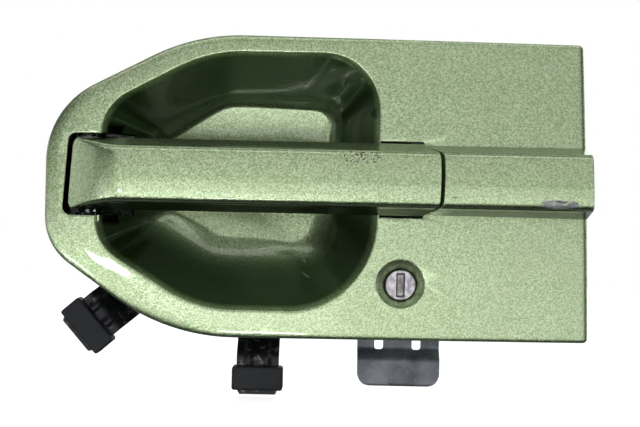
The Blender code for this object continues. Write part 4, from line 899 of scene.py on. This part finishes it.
TAIL_MIDDLE_X = 36.3
TAIL_HALF_WIDTH = 17.5
TAIL_CORNER = 5.0
TAIL_TOP_Z = -66.5
TAIL_LENGTH = 21.0
TAIL_ROOT_Y = 7.2
TAIL_STEP = 3.8
clip_steel = spring_steel("phosphated_spring_steel")
bm = bmesh.new()
bmesh.ops.create_grid(bm, x_segments=70, y_segments=40, size=0.5)
for vert in bm.verts:
    across_x = vert.co.x
    down = 0.5 - vert.co.y
    z = TAIL_TOP_Z - down * TAIL_LENGTH
    corner = max(0.0, (down - 0.72) / 0.28)
    half_width = TAIL_HALF_WIDTH - TAIL_CORNER * (1 - math.sqrt(max(0.0, 1 - corner ** 2)))
    fold = min(max((down - 0.24) / 0.28, 0.0), 1.0)
    lip = max(0.0, (down - 0.93) / 0.07)
    y = TAIL_ROOT_Y - TAIL_STEP * fold * fold * (3 - 2 * fold)
    y += 0.5 * lip ** 2 - 0.35 * math.sin(math.pi * fold)
    vert.co = (TAIL_MIDDLE_X + across_x * 2 * half_width, y, z)
face_front(bm)
tail = solid("clip_finger_tail", bm, 50.0)
sheet = tail.modifiers.new("sheet", "SOLIDIFY")
sheet.thickness = 1.2 * MM
sheet.offset = -1.0
settle(tail, 50.0)
for index, side in enumerate((-1, 1)):
    x = LOCK[0] + side * 8.0
    window = rounded([(x + 1.9, -60.0, 0.4), (x - 1.9, -60.0, 0.4), (x - 1.9, -72.3, 1.2),
                      (x + 1.9, -72.3, 1.2)], 4)
    carve(tail, prism(f"clip_window_{index}", window, -1.0, 12.0))
settle(tail, 50.0)
tail.data.materials.clear()
tail.data.materials.append(clip_steel)
show(soften(tail, 0.15, 2, 50.0), "panel", "spring_steel")
legs = [(50.0, -34.5), (44.6, -34.5), (44.6, -44.0)]
legs += [(LOCK[0] + 8.6 * math.cos(math.radians(-t)), LOCK[1] + 8.6 * math.sin(math.radians(-t)))
         for t in range(0, 181, 12)]
legs += [(27.4, -34.5), (22.0, -34.5), (22.0, -68.0), (50.0, -68.0)]
fork = prism("lock_clip_fork", legs, 4.95, 6.05, "Y", clip_steel)
show(soften(fork, 0.2, 2, 50.0), "panel", "spring_steel", "lock_retaining_clip")

# ---- Parts that keep their CAD shape ----
# Screws, studs, nuts, pins and springs are zinc-plated steel; the carrier and bracket are black-coated.
# The retaining rings are phosphated, the bush, spacer, sleeve and rod clip are natural nylon, and the
# buffers and seals are rubber.
def zinc_plate(name):
    """Bright zinc plating: pale metal with a faint yellow-blue passivate bloom and a fine plated grain."""
    made, tree, shader, place = new_material(name, 0.32, 1.0)
    bloom = node(tree, "ShaderNodeTexNoise",
                 {"Vector": place, "Scale": 1 / (5.0 * MM), "Detail": 5.0}).outputs[0]
    grain = node(tree, "ShaderNodeTexNoise",
                 {"Vector": place, "Scale": 1 / (0.35 * MM), "Detail": 3.0}).outputs[0]
    cool = node(tree, "ShaderNodeMapRange", {0: bloom, 1: 0.35, 2: 0.65}).outputs[0]
    plated = node(tree, "ShaderNodeMix", {0: cool, 6: linear("B9B7AE"), 7: linear("9DA3AE")},
                  data_type="RGBA").outputs[2]
    pits = node(tree, "ShaderNodeMapRange", {0: grain, 1: 0.62, 2: 0.74}).outputs[0]
    colour = node(tree, "ShaderNodeMix", {0: pits, 6: plated, 7: linear("6F6A60")},
                  data_type="RGBA").outputs[2]
    rough = node(tree, "ShaderNodeMapRange", {0: bloom, 1: 0.3, 2: 0.7, 3: 0.26, 4: 0.44}).outputs[0]
    tree.links.new(colour, shader.inputs["Base Color"])
    tree.links.new(rough, shader.inputs["Roughness"])
    bump = node(tree, "ShaderNodeBump", {"Height": grain, "Strength": 0.15, "Distance": 0.05 * MM})
    tree.links.new(bump.outputs[0], shader.inputs["Normal"])
    return made


def natural_nylon(name):
    """Natural nylon 6: milky, slightly translucent off-white with a satin moulded skin and lubricant smears.
    """
    made, tree, shader, place = new_material(name, 0.45, Subsurface_Weight=0.25, Subsurface_Scale=0.8 * MM)
    smear = node(tree, "ShaderNodeTexNoise",
                 {"Vector": place, "Scale": 1 / (3.5 * MM), "Detail": 4.0}).outputs[0]
    darkening_share = node(tree, "ShaderNodeMapRange", {0: smear, 1: 0.5, 2: 0.75}).outputs[0]
    colour = node(tree, "ShaderNodeMix", {0: darkening_share, 6: linear("DDD8C6"), 7: linear("A79F86")},
                  data_type="RGBA").outputs[2]
    rough = node(tree, "ShaderNodeMapRange", {0: smear, 1: 0.3, 2: 0.7, 3: 0.5, 4: 0.35}).outputs[0]
    tree.links.new(colour, shader.inputs["Base Color"])
    tree.links.new(rough, shader.inputs["Roughness"])
    return made


zinc = zinc_plate("zinc_plated_steel")
nylon = natural_nylon("natural_nylon")
foam = moulded_rubber("closed_cell_foam_rubber", "141518", "24262A")
carrier_black = coated_steel("black_coated_casting", 0.2)
ring_steel = spring_steel("phosphated_ring_steel", 0.2)
barrel_zinc = worn_zinc("cast_zinc_alloy", "B9B6B8", "7C7A7D")
FINISHES = {
    "zinc_steel": zinc, "black_steel": carrier_black, "spring_steel": ring_steel, "rubber": pad_rubber,
    "foam_rubber": foam, "nylon": nylon, "lock_metal": barrel_zinc, "panel_paint": panel_paint,
    "grip_paint": strap_paint,
}
slot_of = {part["node"]: part["material_slot"] for part in frame["record"]["subparts"]}
for name, cad in frame["nodes"].items():
    cad.data.materials.clear()
    cad.data.materials.append(FINISHES[slot_of[name]])

# ---- Floor, light and camera ----
# A plain pale floor just under the lowest pad, seen against a white room.
# Soft lights stand in front, above and at the sides; the camera looks almost square on to the panel.
floor_paint, tree, shader, place = new_material("pale_studio_floor", 0.9, Emission_Strength=0.72)
shader.inputs["Emission Color"].default_value = (1.0, 1.0, 1.0, 1.0)
cloud = node(tree, "ShaderNodeTexNoise", {"Vector": place, "Scale": 3.0, "Detail": 2.0}).outputs[0]
tone = node(tree, "ShaderNodeMix", {0: cloud, 6: linear("F4F4F4"), 7: linear("F8F8F8")}, data_type="RGBA")
tree.links.new(tone.outputs[2], shader.inputs["Base Color"])
bm = bmesh.new()
bmesh.ops.create_circle(bm, cap_ends=True, radius=900.0, segments=96)
bmesh.ops.translate(bm, vec=(0.0, 0.0, cad_low.z / MM - 1.5), verts=bm.verts)
floor = solid("studio_floor", bm, material=floor_paint)
floor.visible_diffuse = False
floor.visible_glossy = False
floor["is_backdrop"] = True

world = bpy.data.worlds.new("white_room")
bpy.context.scene.world = world
world.use_nodes = True
sky = world.node_tree
way = node(sky, "ShaderNodeTexCoord").outputs["Generated"]
depth = node(sky, "ShaderNodeSeparateXYZ", {"Vector": way}).outputs["Y"]
behind = node(sky, "ShaderNodeMapRange", {0: depth, 1: -0.02, 2: 0.12, 3: 0.012, 4: 0.42}).outputs[0]
seen = node(sky, "ShaderNodeBackground", {"Color": (1.0, 1.0, 1.0, 1.0), "Strength": 1.0})
lit = node(sky, "ShaderNodeBackground", {"Color": (0.92, 1.0, 0.95, 1.0), "Strength": behind})
ray = node(sky, "ShaderNodeLightPath").outputs["Is Camera Ray"]
both = node(sky, "ShaderNodeMixShader", {0: ray, 1: lit.outputs[0], 2: seen.outputs[0]})
sky.links.new(both.outputs[0], sky.nodes["World Output"].inputs["Surface"])


def softbox(name, place, size, brightness):
    """A white rectangular light that faces the origin; brightness is its radiance."""
    lamp = bpy.data.lights.new(name, "AREA")
    lamp.shape = "RECTANGLE"
    lamp.size, lamp.size_y = size
    lamp.energy = brightness * math.pi * size[0] * size[1]
    made = bpy.data.objects.new(name, lamp)
    bpy.context.scene.collection.objects.link(made)
    made.location = place
    made.rotation_mode = "QUATERNION"
    made.rotation_quaternion = (-Vector(place)).to_track_quat("-Z", "Y")
    made.visible_camera = False


softbox("front_low", (0.05, -1.0, -0.34), (1.3, 0.62), 1.4)
softbox("front_high", (0.05, -1.0, 0.34), (1.3, 0.62), 0.8)
softbox("top_front", (0.0, -0.5, 0.8), (1.6, 0.3), 1.6)
softbox("left_side", (-0.9, -0.1, 0.0), (0.5, 0.5), 0.7)
softbox("left_wash", (-0.78, -0.7, -0.25), (0.55, 0.5), 1.4)
softbox("cup_fill", (-0.09, -0.62, -0.18), (0.22, 0.14), 1.5)
softbox("key_spot", (-0.249, -0.708, -0.131), (0.064, 0.034), 22.0)
softbox("right_side", (0.9, -0.12, -0.05), (0.3, 0.5), 1.6)
softbox("key_left", (-0.46, -0.52, -0.34), (0.13, 0.08), 14.0)
softbox("key_below", (-0.07, -0.55, -0.42), (0.11, 0.05), 26.0)
softbox("overhead", (0.0, 0.12, 0.9), (0.9, 0.2), 0.8)
softbox("back_fill", (0.3, 0.9, 0.5), (0.9, 0.7), 1.4)

camera = bpy.data.objects.new("camera", bpy.data.cameras.new("camera"))
bpy.context.scene.collection.objects.link(camera)
camera.location = (0.0016, -0.508, -0.0147)
camera.rotation_euler = (Matrix.Rotation(math.radians(-1.25), 3, "Y")
                         @ Matrix.Rotation(math.radians(90), 3, "X")).to_euler()
camera.data.sensor_width = 36.0
camera.data.lens = 67.6
camera.data.clip_start = 0.01
bpy.context.scene.camera = camera
bpy.context.scene.view_settings.view_transform = "Standard"

low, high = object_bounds()
